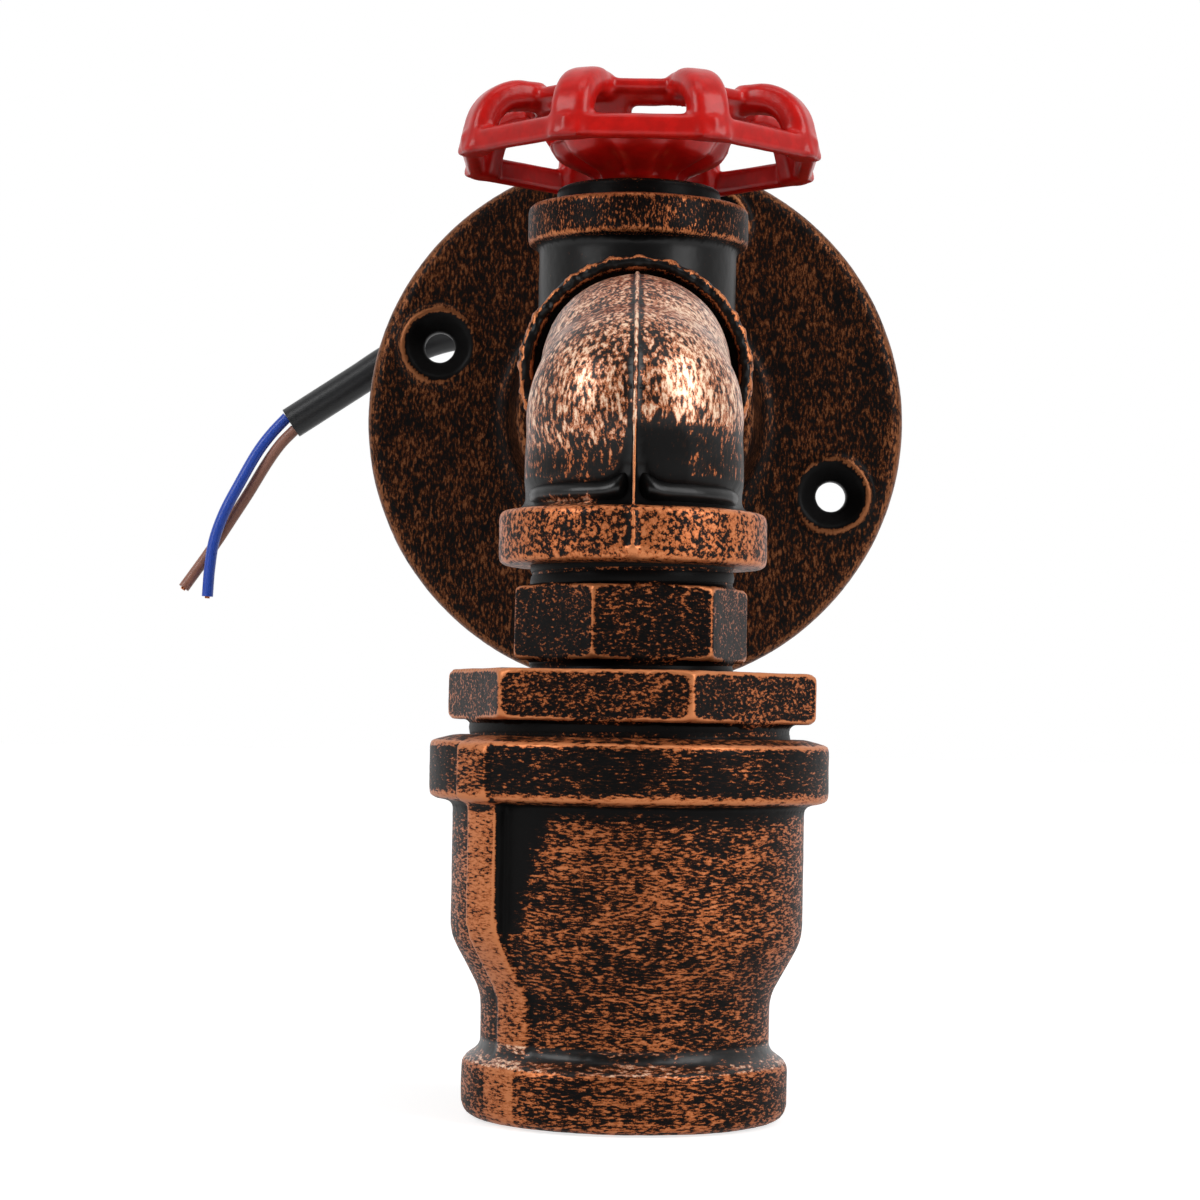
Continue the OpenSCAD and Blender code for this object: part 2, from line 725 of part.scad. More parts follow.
module wheel_washer() {
    color(STEEL) on_wheel_axis(hub_top_z) tube(washer_d / 2, hub_bore_d / 2 + loose_gap, washer_t);
}

module wheel_nut() {
    color(STEEL) on_wheel_axis(nut_base_z) difference() {
        hexagon(wheel_nut_af, wheel_nut_h, 0.5);
        translate([0, 0, -over]) cylinder(d = hub_bore_d, h = wheel_nut_h + 2 * over);
    }
}

// A bend from the run to the lamp axis, with a tube of the given radius, lowered by a drop
module elbow_bend(r, drop = 0) {
    translate([0, lamp_y + bend_r - heel_shift, -bend_r - drop]) rotate([90, 0, -90]) {
        rotate_extrude(angle = 90) translate([bend_r, 0]) circle(r = r);
    }
}

// The elbow's outer form from the tee's face to the heel, grown by an extra radius
module elbow_form(extra = 0) {
    translate([0, 0, -bend_drop]) along_run(tee_front_y) cylinder(r = bend_d / 2 + extra, h = elbow_run_l);
    elbow_bend(bend_d / 2 + extra, bend_drop);
    translate([0, lamp_y - heel_shift, -heel_z]) sphere(r = heel_d / 2 + extra);
}

// The casting seam over the elbow's back in its middle plane, with its web down to the band
module elbow_seam() {
    intersection() {
        elbow_form(seam_h);
        translate([-seam_w / 2, lamp_y - elbow_reach, -elbow_reach]) {
            cube([seam_w, elbow_arm + elbow_reach, 2 * elbow_reach]);
        }
    }
    on_lamp_axis(outlet_z + over) translate([-seam_w / 2, -seam_front(), 0]) {
        cube([seam_w, seam_front() - bore_r - 4, elbow_reach - heel_z - over]);
    }
    on_lamp_axis(outlet_z + over) translate([-seam_w / 2, -elbow_band_d / 2 - seam_h, 0]) {
        cube([seam_w, elbow_band_d / 2 - bore_r - 4, elbow_band_h - 2 * over]);
    }
}

// Distance of the seam's front from the lamp axis
function seam_front() = heel_d / 2 + heel_shift + seam_h;

module street_elbow() {
    band_top_z = outlet_z + elbow_band_h;
    color(COPPER) difference() {
        union() {
            along_run(tee_front_y + thread_l) cylinder(r = thread_r, h = thread_l);
            along_run(tee_front_y) cylinder(r1 = thread_r, r2 = bend_d / 2 - bend_drop, h = elbow_run_l);
            elbow_form();
            translate([0, lamp_y, -bend_r]) sphere(d = elbow_d);
            on_lamp_axis() revolve([
                [0, outlet_z, 0], [elbow_band_d / 2, outlet_z, 1], [elbow_band_d / 2, band_top_z, 1],
                [elbow_d / 2, band_top_z, 1.6], [elbow_d / 2, -bend_r, 0], [0, -bend_r, 0]
            ]);
            elbow_seam();
        }
        along_run(tee_front_y + thread_l + over) cylinder(r = bore_r, h = thread_l + elbow_run_l + over);
        elbow_bend(bore_r);
        on_lamp_axis(outlet_z) cylinder(r = bore_r, h = elbow_reach - bend_r);
        on_lamp_axis(outlet_z - over) cylinder(r = socket_r, h = socket_l + over);
    }
}

module hex_nipple() {
    color(COPPER) on_lamp_axis() difference() {
        union() {
            translate([0, 0, nipple_base_z]) rotate(nipple_turn) hexagon(nipple_af, nipple_hex_h, 0.8);
            translate([0, 0, nipple_top_z]) cylinder(r = thread_r, h = nipple_neck + thread_l);
            translate([0, 0, bushing_top_z - thread_l]) cylinder(r = thread_r, h = bushing_gap + thread_l);
        }
        translate([0, 0, bushing_top_z - thread_l - over]) {
            cylinder(r = bore_r, h = outlet_z - bushing_top_z + 2 * thread_l + 2 * over);
        }
    }
}

module hex_bushing() {
    color(COPPER) on_lamp_axis() difference() {
        union() {
            translate([0, 0, bushing_base_z]) rotate(bushing_turn) hexagon(bushing_af, bushing_hex_h, 1);
            translate([0, 0, bushing_end_z]) cylinder(d = bushing_d, h = bushing_base_z - bushing_end_z);
        }
        translate([0, 0, bushing_end_z - over]) {
            cylinder(r = bushing_bore_r, h = bushing_top_z - bushing_end_z + 2 * over);
        }
        translate([0, 0, bushing_top_z - socket_l]) cylinder(r = socket_r, h = socket_l + over);
    }
}

// The bell's outer form, from its mouth up to its top face
module bell_form() {
    taper_end = -taper_top - taper_l;
    band_z = -bell_l + mouth_band_h;
    revolve([
        [0, -bell_l, 0], [mouth_band_d / 2, -bell_l, 2], [mouth_band_d / 2, band_z, 1.5],
        [waist_d / 2, band_z + 1.6, 1.5], [waist_d / 2, taper_end, 6], [bell_d / 2, -taper_top, 7],
        [bell_d / 2, -bell_band_h, 0.8], [bell_band_d / 2, -bell_band_h + 0.6, 0.9],
        [bell_band_d / 2, -0.8, 0.6], [bell_d / 2, 0, 0], [0, 0, 0]
    ]);
}

// The bell's two cast ribs, which run down the taper and along the waist
module bell_ribs() {
    rib_r = bell_d / 2 + rib_h;
    rib_end_r = waist_d / 2 + rib_end_h;
    rib_band_r = bell_band_d / 2 + rib_band_h;
    taper_end = -taper_top - taper_l;
    rib_end = -bell_l + mouth_band_h + over;
    intersection() {
        revolve([
            [0, rib_end, 0], [rib_end_r, rib_end, 0], [rib_end_r, taper_end, 6], [rib_r, -taper_top + 1, 7],
            [rib_r, -bell_band_h, 0.6], [rib_band_r, -bell_band_h + 0.6, 0.8], [rib_band_r, -over, 0.6],
            [0, -over, 0]
        ]);
        for (side = [0, 180]) rotate(rib_turn + side) {
            translate([0, -rib_w / 2, -bell_l]) cube([bell_band_d, rib_w, bell_l]);
        }
    }
}

module bell_reducer() {
    color(COPPER) on_lamp_axis(bell_top_z) difference() {
        union() {
            bell_form();
            bell_ribs();
        }
        translate([0, 0, -bushing_l]) cylinder(r = bushing_d / 2 + thread_gap, h = bushing_l + over);
        translate([0, 0, -seat_depth]) cylinder(r = chamber_r, h = seat_depth);
        translate([0, 0, -bell_l - over]) cylinder(d = mouth_bore_d, h = bell_l);
    }
}

module retaining_ring() {
    color(STEEL) on_lamp_axis(holder_top_z) tube(holder_flange_r, ring_in_r, bushing_end_z - holder_top_z);
}

module lampholder_body() {
    color(CERAMIC) on_lamp_axis() difference() {
        revolve([
            [0, holder_mouth_z, 0], [holder_r, holder_mouth_z, 0.8], [holder_r, seat_z, 0],
            [holder_flange_r, seat_z, 0], [holder_flange_r, holder_top_z, 0.5], [0, holder_top_z, 0]
        ]);
        translate([0, 0, holder_mouth_z - over]) {
            cylinder(r = holder_bore_r, h = shell_seat_z - holder_mouth_z + over);
        }
        translate([0, 0, shell_seat_z - over]) {
            cylinder(r = contact_room_r, h = holder_floor_z - shell_seat_z + over);
        }
        translate([0, 0, holder_floor_z - over]) {
            cylinder(r = contact_r + 1, h = holder_top_z - holder_floor_z + 2 * over);
        }
    }
}

module lampholder_base() {
    color(CERAMIC) on_lamp_axis() revolve([
        [0, holder_top_z, 0], [holder_bore_r, holder_top_z, 0],
        [holder_bore_r, base_top_z, 1], [0, base_top_z, 0]
    ]);
}

module screw_shell() {
    shell_mouth_z = holder_mouth_z + 1;
    shell_l = shell_seat_z - shell_mouth_z;
    color(BRASS) on_lamp_axis(shell_mouth_z) difference() {
        cylinder(r = shell_r + shell_wall, h = shell_l);
        translate([0, 0, -over]) cylinder(r = shell_r, h = shell_l - shell_wall + over);
        cylinder(r = contact_room_r, h = shell_l + over);
    }
}

module centre_contact() {
    head_z = holder_floor_z - contact_drop;
    color(BRASS) on_lamp_axis() revolve([
        [0, head_z, 0], [contact_head_r, head_z, 0.6], [contact_head_r, head_z + contact_head_t, 0],
        [contact_r, head_z + contact_head_t, 0], [contact_r, holder_top_z, 0], [0, holder_top_z, 0]
    ]);
}

module holder_terminals() {
    color(BRASS) on_lamp_axis(base_top_z) for (side = [-1, 1]) {
        translate([side * terminal_x - terminal_w / 2, -terminal_w / 2, 0]) {
            cube([terminal_w, terminal_w, terminal_h]);
        }
    }
}

module terminal_screws() {
    color(STEEL) on_lamp_axis(base_top_z + terminal_h / 2) for (side = [-1, 1]) {
        rotate([0, side * 90, 0]) translate([0, 0, terminal_x + terminal_w / 2]) {
            cylinder(d = terminal_screw_d, h = terminal_screw_l);
        }
    }
}

module inner_cable() {
    color(BLACK) along_run(bush_face_y) cylinder(r = cable_r, h = bush_face_y - cable_end_y);
}

module live_lead() {
    color(BROWN) sweep(LIVE_ROUTE, inner_core_r, 8, [0, -1, 0], [0, 0, 1]);
}

module switched_lead() {
    color(BROWN) sweep(SWITCHED_ROUTE, inner_core_r, 8, [0, 0, -1], [0, 0, -1]);
}

module neutral_lead() {
    color(BLUE) sweep(NEUTRAL_ROUTE, inner_core_r, 8, [0, -1, 0], [0, 0, -1]);
}

module supply_cable() {
    color(BLACK) sweep(CABLE_ROUTE, cable_r, 12);
}

module blue_core() {
    color(BLUE) sweep(concat([cable_tip + core_offset * cable_side], BLUE_ROUTE), core_r, 8, cable_way);
}

module brown_core() {
    color(BROWN) sweep(concat([cable_tip - core_offset * cable_side], BROWN_ROUTE), core_r, 8, cable_way);
}

wall_flange();
wall_nipple();
cable_grommet();
tee();
bonnet_plug();
switch_bush();
switch_nut();
switch_case();
switch_cover();
switch_terminals();
switch_rotor();
stem();
handwheel();
wheel_washer();
wheel_nut();
street_elbow();
hex_nipple();
hex_bushing();
bell_reducer();
retaining_ring();
lampholder_body();
lampholder_base();
screw_shell();
centre_contact();
holder_terminals();
terminal_screws();
inner_cable();
live_lead();
switched_lead();
neutral_lead();
supply_cable();
blue_core();
brown_core();
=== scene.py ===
import json
import math

import bpy
import numpy as np
from bpy.props import FloatProperty, FloatVectorProperty, PointerProperty
from mathutils import Matrix, Vector


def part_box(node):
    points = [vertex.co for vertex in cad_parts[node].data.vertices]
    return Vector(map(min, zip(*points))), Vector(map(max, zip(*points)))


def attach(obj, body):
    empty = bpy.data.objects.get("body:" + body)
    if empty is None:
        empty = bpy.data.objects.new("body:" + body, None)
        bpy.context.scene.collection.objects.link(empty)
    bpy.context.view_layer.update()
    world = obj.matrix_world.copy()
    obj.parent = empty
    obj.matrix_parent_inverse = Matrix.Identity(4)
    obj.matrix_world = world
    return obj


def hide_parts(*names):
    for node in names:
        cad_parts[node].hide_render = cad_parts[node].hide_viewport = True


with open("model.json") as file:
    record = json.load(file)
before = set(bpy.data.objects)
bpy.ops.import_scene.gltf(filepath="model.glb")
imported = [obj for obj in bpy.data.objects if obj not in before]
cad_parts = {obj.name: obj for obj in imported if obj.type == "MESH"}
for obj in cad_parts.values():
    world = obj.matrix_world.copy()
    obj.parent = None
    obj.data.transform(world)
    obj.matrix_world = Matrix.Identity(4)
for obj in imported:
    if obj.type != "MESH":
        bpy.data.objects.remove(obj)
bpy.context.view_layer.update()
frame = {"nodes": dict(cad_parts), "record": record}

bl_info = {
    "name": "Pipe wall light",
    "version": (1, 0, 0),
    "blender": (4, 5, 0),
    "location": "View3D > Sidebar > Pipe light",
    "description": "Dresses the pipe wall light: castings, handwheel, lampholder, cable and stage",
    "category": "Object",
}

MM = 0.001
TAU = 2 * math.pi

# Axes of the light, read from the frame
LAMP_Y = sum(corner.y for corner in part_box("screw_shell")) / 2
WHEEL_Y = sum(corner.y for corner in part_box("wheel_nut")) / 2
FLOOR_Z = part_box("bell_reducer")[0].z
SCREW_TURN = math.radians(-20)
RIB_TURN = math.radians(-139)
WHEEL_RIBS = 8

# Heights of the fittings' bands, then radius and pitch of the threads, in millimetres
ELBOW_BAND = 7.2
TEE_BAND = 6.5
BELL_BAND = 8.6
PIPE_THREAD = (13.2, 1.81)
BUSHING_THREAD = (20.9, 2.31)
STEM_THREAD = (2.86, 1.0)
LAMP_THREAD_PITCH = 3.62

# Route of the cable's sheath and of its two cores, in millimetres
SHEATH_ROUTE = (
    (0, -0.5, 0), (0, 2, 0), (0, 5, 0), (-1, 12.5, 1), (-3, 19, 3.5), (-6.5, 25, 7), (-11, 28.5, 12),
    (-18, 31.5, 17), (-26.5, 34, 19), (-35, 35.5, 18), (-43, 36, 14.5), (-49, 36, 10.5), (-55, 36, 6.5),
    (-61, 36, 2.5),
)
BLUE_ROUTE = (
    (-61.72, 36, 3.58), (-64.5, 36, 0.5), (-67, 36, -3), (-70, 36, -8.5), (-72.5, 36, -13.5),
    (-74.2, 36, -18.5), (-74.9, 36, -23.5), (-75.2, 36, -28.5),
)
BROWN_ROUTE = (
    (-60.28, 36, 1.42), (-62.8, 36.3, -1.2), (-65.3, 37.2, -4.6), (-68.5, 38.2, -9.8), (-71.5, 38.6, -14.5),
    (-74, 38.5, -18.5), (-76.6, 38, -22.5), (-79.6, 37.2, -27),
)


def colour(label, about, value):
    return FloatVectorProperty(
        name=label, description=about, subtype="COLOR", size=3, min=0, max=1, default=value
    )


def length(label, about, millimetres):
    return FloatProperty(
        name=label, description=about, unit="LENGTH", min=0, default=millimetres * MM, precision=5
    )


def amount(label, about, value):
    return FloatProperty(name=label, description=about, min=0, default=value)


def angle(label, about, degrees):
    return FloatProperty(name=label, description=about, subtype="ANGLE", default=math.radians(degrees))


class PIPELIGHT_PG_finishes(bpy.types.PropertyGroup):
    """Colours of the light's finishes"""

    patina: colour("Patina", "Black patina in the castings' recesses", (0.0035, 0.0032, 0.0032))
    umber: colour("Umber", "Brown patina where the copper shows through", (0.04, 0.014, 0.006))
    copper: colour("Copper", "Rubbed copper", (0.36, 0.098, 0.03))
    bright_copper: colour("Bright copper", "Copper rubbed bare", (0.56, 0.2, 0.078))
    # Pale copper is a painted sheen: it takes the place of the bright copper where the lacquer is high, over
    # the elbow's dome.
    painted_sheen_copper: colour("Pale copper", "Copper paled as painted sheen where lacquered", (0.94, 0.68, 0.48))
    enamel: colour("Enamel", "Red enamel of the handwheel", (0.58, 0.006, 0.0035))
    primer: colour("Primer", "Dark metal under chipped enamel", (0.03, 0.008, 0.007))
    zinc: colour("Zinc", "Plated nut, washer and stem", (0.6, 0.61, 0.63))
    brass: colour("Brass", "Lampholder shell and terminals", (0.72, 0.52, 0.2))
    ceramic: colour("Ceramic", "Glazed lampholder", (0.8, 0.77, 0.7))
    sheath: colour("Sheath", "Cable sheath", (0.006, 0.0065, 0.008))
    blue: colour("Blue core", "Insulation of the blue core", (0.022, 0.095, 0.62))
    brown: colour("Brown core", "Insulation of the brown core", (0.4, 0.17, 0.115))


class PIPELIGHT_PG_castings(bpy.types.PropertyGroup):
    """How the cast pieces are remeshed and roughened"""

    voxel: length("Voxel", "Size of a casting's faces", 0.42)
    wheel_voxel: length("Wheel voxel", "Size of the handwheel's faces", 0.36)
    swell: length("Swell", "Height of the slow waves of a casting", 0.14)
    grain: length("Grain", "Height of the sand grain of a casting", 0.06)


class PIPELIGHT_PG_cable(bpy.types.PropertyGroup):
    """Sizes of the cable"""

    sheath_d: length("Sheath", "Diameter of the sheath", 5.6)
    core_d: length("Core", "Diameter of an insulated core", 2.0)
    strand_d: length("Strand", "Diameter of one copper strand", 0.32)


class PIPELIGHT_PG_stage(bpy.types.PropertyGroup):
    """Camera and lights"""

    lens: amount("Lens", "Focal length in millimetres", 93.0)
    camera_y: length("Camera distance", "Distance of the camera in front of the wall", 512)
    camera_drop: length("Camera drop", "Depth of the camera below the run's axis", 49)
    pitch: angle("Pitch", "Upward tilt of the camera", 2.2)
    yaw: angle("Yaw", "Turn of the camera to the left", 0.59)
    roll: angle("Roll", "Lean of the camera", 1.0)
    key: amount("Key", "Power of the left side light, which the others follow", 2.7)
    ambient: amount("Ambient", "Strength of the light from all round", 0.16)
    room: amount("Room", "Strength of the room that metal mirrors", 0.08)
    sides: amount("Sides", "Strength of the pale sides that metal mirrors", 0.5)
    floor_glow: amount("Floor glow", "How far the floor far off lights itself", 0.95)


class PIPELIGHT_PG_light(bpy.types.PropertyGroup):
    """All settings of the pipe light"""

    finishes: PointerProperty(type=PIPELIGHT_PG_finishes)
    castings: PointerProperty(type=PIPELIGHT_PG_castings)
    cable: PointerProperty(type=PIPELIGHT_PG_cable)
    stage: PointerProperty(type=PIPELIGHT_PG_stage)


def settings():
    return bpy.context.scene.pipe_light


# Objects and modifiers


def select_only(piece):
    if bpy.context.object and bpy.context.object.mode != "OBJECT":
        bpy.ops.object.mode_set(mode="OBJECT")
    bpy.ops.object.select_all(action="DESELECT")
    piece.select_set(True)
    bpy.context.view_layer.objects.active = piece


def edit(piece, *steps):
    """Runs edit-mode operators, each given as (operator, keywords), on all of a piece"""
    select_only(piece)
    bpy.ops.object.mode_set(mode="EDIT")
    bpy.ops.mesh.select_all(action="SELECT")
    for operator, keywords in steps:
        operator(**keywords)
    bpy.ops.object.mode_set(mode="OBJECT")


def modify(piece, kind, **values):
    """Adds a modifier and applies it"""
    select_only(piece)
    modifier = piece.modifiers.new(kind.title(), kind)
    for key, value in values.items():
        setattr(modifier, key, value)
    bpy.ops.object.modifier_apply(modifier=modifier.name)


def wind(piece, pitch, turns):
    """Winds a profile round the z axis"""
    modify(
        piece, "SCREW", axis="Z", angle=TAU, screw_offset=pitch, iterations=turns, steps=72,
        render_steps=72, use_merge_vertices=True,
    )


def node_copy(node, name):
    """A merged copy of a CAD node's mesh, as the start of a piece"""
    piece = bpy.data.objects.new(name, frame["nodes"][node].data.copy())
    bpy.context.scene.collection.objects.link(piece)
    piece.data.materials.clear()
    edit(piece, (bpy.ops.mesh.remove_doubles, {"threshold": 0.002 * MM}))
    select_only(piece)
    bpy.ops.mesh.customdata_custom_splitnormals_clear()
    return piece


def place(piece, body, slot, material, *nodes):
    """Gives a finished piece its material and its body, and hides the nodes it stands for; the slot is not
    used
    """
    piece.data.materials.clear()
    piece.data.materials.append(material)
    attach(piece, body)
    if nodes:
        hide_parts(*nodes)
    return piece


def clouds(name, size, depth=2):
    texture = bpy.data.textures.get(name) or bpy.data.textures.new(name, "CLOUDS")
    texture.noise_scale = size
    texture.noise_depth = depth
    return texture


def cast(piece, voxel, soften):
    """Remeshes a piece evenly and rounds its edges, as a sand casting has them"""
    modify(piece, "REMESH", mode="VOXEL", voxel_size=voxel, use_smooth_shade=True)
    if soften:
        modify(piece, "SMOOTH", factor=0.5, iterations=soften)


def roughen(piece, swell, grain):
    """Slow waves and sand grain"""
    modify(
        piece, "DISPLACE", texture=clouds("casting swell", 7 * MM), texture_coords="LOCAL",
        mid_level=0.5, strength=swell,
    )
    modify(
        piece, "DISPLACE", texture=clouds("casting grain", 0.9 * MM, 3), texture_coords="LOCAL",
        mid_level=0.5, strength=grain,
    )
    select_only(piece)
    bpy.ops.object.shade_smooth()


def corners(piece, kind="co"):
    """The places or the normals of a piece's vertices, as rows"""
    rows = np.empty(len(piece.data.vertices) * 3)
    piece.data.vertices.foreach_get(kind, rows)
    return rows.reshape(-1, 3)


def soft_step(values):
    """A smooth step from 0 to 1"""
    values = np.clip(values, 0, 1)
    return values * values * (3 - 2 * values)


def zone(piece, name, weights, steps=100):
    """A vertex group with a weight for each vertex, rounded to hundredths"""
    group = piece.vertex_groups.new(name=name)
    levels = np.rint(steps * np.asarray(weights))
    for level in range(1, steps + 1):
        group.add(np.flatnonzero(levels == level).tolist(), level / steps, "REPLACE")
    return name


def narrow(piece, inside):
    """Draws a part of a piece in towards the middle plane"""
    select_only(piece)
    piece.data.vertices.foreach_set("select", inside)
    bpy.ops.object.mode_set(mode="EDIT")
    bpy.ops.transform.resize(value=(0.4, 1, 1), center_override=(0, 0, 0))
    bpy.ops.object.mode_set(mode="OBJECT")


def store(piece, name, values):
    attribute = piece.data.attributes.new(name, "FLOAT", "POINT")
    attribute.data.foreach_set("value", values.astype(np.float32))


def wear_map(piece, near=6, far=110, near_depth=0.16, far_depth=0.45):
    """Stores how far each point stands out from its surroundings, close by and further off, from -1 to 1"""
    mesh = piece.data
    count = len(mesh.vertices)
    points = corners(piece)
    normals = corners(piece, "normal")
    ends = np.empty(len(mesh.edges) * 2, dtype=np.int64)
    mesh.edges.foreach_get("vertices", ends)
    ends = ends.reshape(-1, 2)
    ends = np.concatenate([ends, ends[:, ::-1]])
    ends = ends[np.argsort(ends[:, 0], kind="stable")]
    starts = np.searchsorted(ends[:, 0], np.arange(count))
    degree = np.bincount(ends[:, 0], minlength=count)[:, None]
    level = points.copy()
    for step in range(1, far + 1):
        level += 0.7 * (np.add.reduceat(level[ends[:, 1]], starts, axis=0) / degree - level)
        if step == near:
            close = ((points - level) * normals).sum(axis=1) / (near_depth * MM)
    wide = ((points - level) * normals).sum(axis=1) / (far_depth * MM)
    store(piece, "edge_wear", np.clip(close, -1, 1))
    store(piece, "crown_wear", np.clip(wide, -1, 1))


# Materials


class Sheet:
    """The node tree of a material or of the world, with short calls for its nodes"""

    def __init__(self, owner):
        owner.use_nodes = True
        self.material = owner
        self.tree = owner.node_tree
        self.shader = self.tree.nodes.get("Principled BSDF") or self.tree.nodes["Background"]

    def link(self, value, socket):
        if isinstance(value, bpy.types.NodeSocket):
            self.tree.links.new(value, socket)
        elif hasattr(socket.default_value, "__len__") and len(value) == 3 and len(socket.default_value) == 4:
            socket.default_value = (*value, 1)
        else:
            socket.default_value = value

    def add(self, kind, inputs, **options):
        node = self.tree.nodes.new(kind)
        for key, value in options.items():
            setattr(node, key, value)
        for key, value in inputs.items():
            self.link(value, node.inputs[key])
        return node

    def set(self, **values):
        """Sets or links sockets of the shader, with spaces in their names written as underscores"""
        for key, value in values.items():
            self.link(value, self.shader.inputs[key.replace("_", " ")])

    def places(self, stretch=(1, 1, 1)):
        """Object coordinates in millimetres, stretched"""
        coordinates = self.add("ShaderNodeTexCoord", {}).outputs["Object"]
        scale = Vector(stretch) / MM
        return self.add("ShaderNodeMapping", {"Vector": coordinates, "Scale": scale}).outputs["Vector"]

    def noise(self, places, scale, detail=3.0, roughness=0.55):
        inputs = {"Vector": places, "Scale": scale, "Detail": detail, "Roughness": roughness}
        return self.add("ShaderNodeTexNoise", inputs).outputs["Fac"]

    def attribute(self, name):
        return self.add("ShaderNodeAttribute", {}, attribute_name=name).outputs["Fac"]

    def math(self, operation, first, second=0.0):
        return self.add("ShaderNodeMath", {0: first, 1: second}, operation=operation).outputs[0]

    def sum(self, *terms):
        """Adds up (value, weight) pairs"""
        total = 0.0
        for value, weight in terms:
            inputs = {0: value, 1: weight, 2: total}
            total = self.add("ShaderNodeMath", inputs, operation="MULTIPLY_ADD").outputs[0]
        return total

    def ramp(self, value, low, high, to_low=0.0, to_high=1.0):
        """A smooth step between two values"""
        inputs = {"Value": value, "From Min": low, "From Max": high, "To Min": to_low, "To Max": to_high}
        return self.add("ShaderNodeMapRange", inputs, interpolation_type="SMOOTHSTEP").outputs["Result"]

    def mix(self, factor, first, second):
        node = self.add("ShaderNodeMix", {0: factor}, data_type="RGBA")
        self.link(first, node.inputs[6])
        self.link(second, node.inputs[7])
        return node.outputs[2]

    def blend(self, factor, first, second):
        return self.add("ShaderNodeMix", {0: factor, 2: first, 3: second}, data_type="FLOAT").outputs[0]

    def mirrored(self):
        """1 where a ray is one that metal or glass sends on"""
        path = self.add("ShaderNodeLightPath", {})
        return self.math("MAXIMUM", path.outputs["Is Glossy Ray"], path.outputs["Is Transmission Ray"])

    def seen(self):
        """1 where a ray comes from the camera"""
        return self.add("ShaderNodeLightPath", {}).outputs["Is Camera Ray"]

    def bump(self, height, strength, depth):
        inputs = {"Height": height, "Strength": strength, "Distance": depth * MM}
        self.set(Normal=self.add("ShaderNodeBump", inputs).outputs["Normal"])


def antique_copper(name, stretch=(1, 1, 1), cover=0.0, edges=0.3, hollows=0.2, tone=1.0):
    """Black paint with copper brushed over it: flecks and streaks, solid on edges, none in hollows"""
    finishes = settings().finishes
    sheet = Sheet(bpy.data.materials.new(name))
    even = sheet.places()
    streaked = sheet.places(stretch)
    flecks = sheet.noise(streaked, 3.6, 3.0, 0.6)
    flecks = sheet.blend(sheet.attribute("dabbed"), flecks, sheet.noise(even, 1.7, 3.0, 0.6))
    strokes = sheet.noise(streaked, 1.0, 2.0, 0.5)
    patches = sheet.noise(even, 0.14, 2.0)
    grain = sheet.noise(even, 5.0, 2.0)
    # This attribute holds painted shade and rubbing: above zero it blackens the paint, mostly where shade
    # falls; below zero it rubs more copper on.
    painted_shade_and_rub = sheet.attribute("painted_shade_and_rub")
    close = sheet.attribute("edge_wear")
    edge = sheet.ramp(close, 0.35, 0.95)
    corner = sheet.ramp(close, -0.2, -0.7)
    sunk = sheet.ramp(sheet.attribute("crown_wear"), -0.2, -0.9)
    rub = sheet.sum(
        (flecks, 1.3), (strokes, 0.35), (patches, 0.3), (grain, 0.3), (edge, edges), (corner, -0.2),
        (sunk, -hollows), (painted_shade_and_rub, -0.6), (1.0, cover - 1.125),
    )
    mask = sheet.ramp(rub, -0.04, 0.07)
    thick = sheet.ramp(rub, 0.03, 0.28)
    copper = tuple(tone * part for part in finishes.copper)
    bright, umber = (
        tuple(math.sqrt(tone) * part for part in tint) for tint in (finishes.bright_copper, finishes.umber)
    )
    # High lacquer gives coat, and turns the bright copper pale as a painted sheen.
    lacquer_and_painted_sheen = sheet.attribute("lacquer_and_painted_sheen")
    bright = sheet.mix(sheet.ramp(lacquer_and_painted_sheen, 0.12, 0.4), bright, finishes.painted_sheen_copper)
    stain = sheet.mix(sheet.ramp(rub, -0.22, 0.0, 0.0, 0.5), finishes.patina, umber)
    sheet.set(
        Base_Color=sheet.mix(mask, stain, sheet.mix(thick, copper, bright)),
        Metallic=sheet.ramp(mask, 0.0, 1.0, 0.0, 0.6),
        Roughness=sheet.sum((mask, -0.04), (grain, 0.2), (1.0, 0.34)),
        Specular_IOR_Level=0.04,
        Coat_Weight=sheet.math("ADD", lacquer_and_painted_sheen, 0.05),
        Coat_Roughness=0.3,
    )
    sheet.bump(sheet.sum((flecks, 0.4), (grain, 0.5), (mask, 0.3)), 0.4, 0.1)
    return sheet.material


def red_enamel():
    finishes = settings().finishes
    sheet = Sheet(bpy.data.materials.new("red enamel"))
    even = sheet.places()
    peel = sheet.noise(even, 0.55, 2.0)
    dust = sheet.noise(even, 3.0, 3.0)
    edge = sheet.attribute("edge_wear")
    chip = sheet.ramp(sheet.sum((edge, 0.42), (dust, 0.5), (peel, 0.3)), 0.95, 0.99)
    deep = tuple(0.8 * part for part in finishes.enamel)
    paint = sheet.mix(sheet.ramp(peel, 0.3, 0.7), finishes.enamel, deep)
    sheet.set(
        Base_Color=sheet.mix(chip, paint, finishes.primer),
        Roughness=sheet.sum((dust, 0.14), (chip, 0.3), (1.0, 0.3)),
        Specular_IOR_Level=0.22,
        Coat_Weight=0.28,
        Coat_Roughness=0.18,
    )
    sheet.bump(sheet.sum((peel, 0.7), (dust, 0.12), (chip, -0.5)), 0.25, 0.25)
    return sheet.material


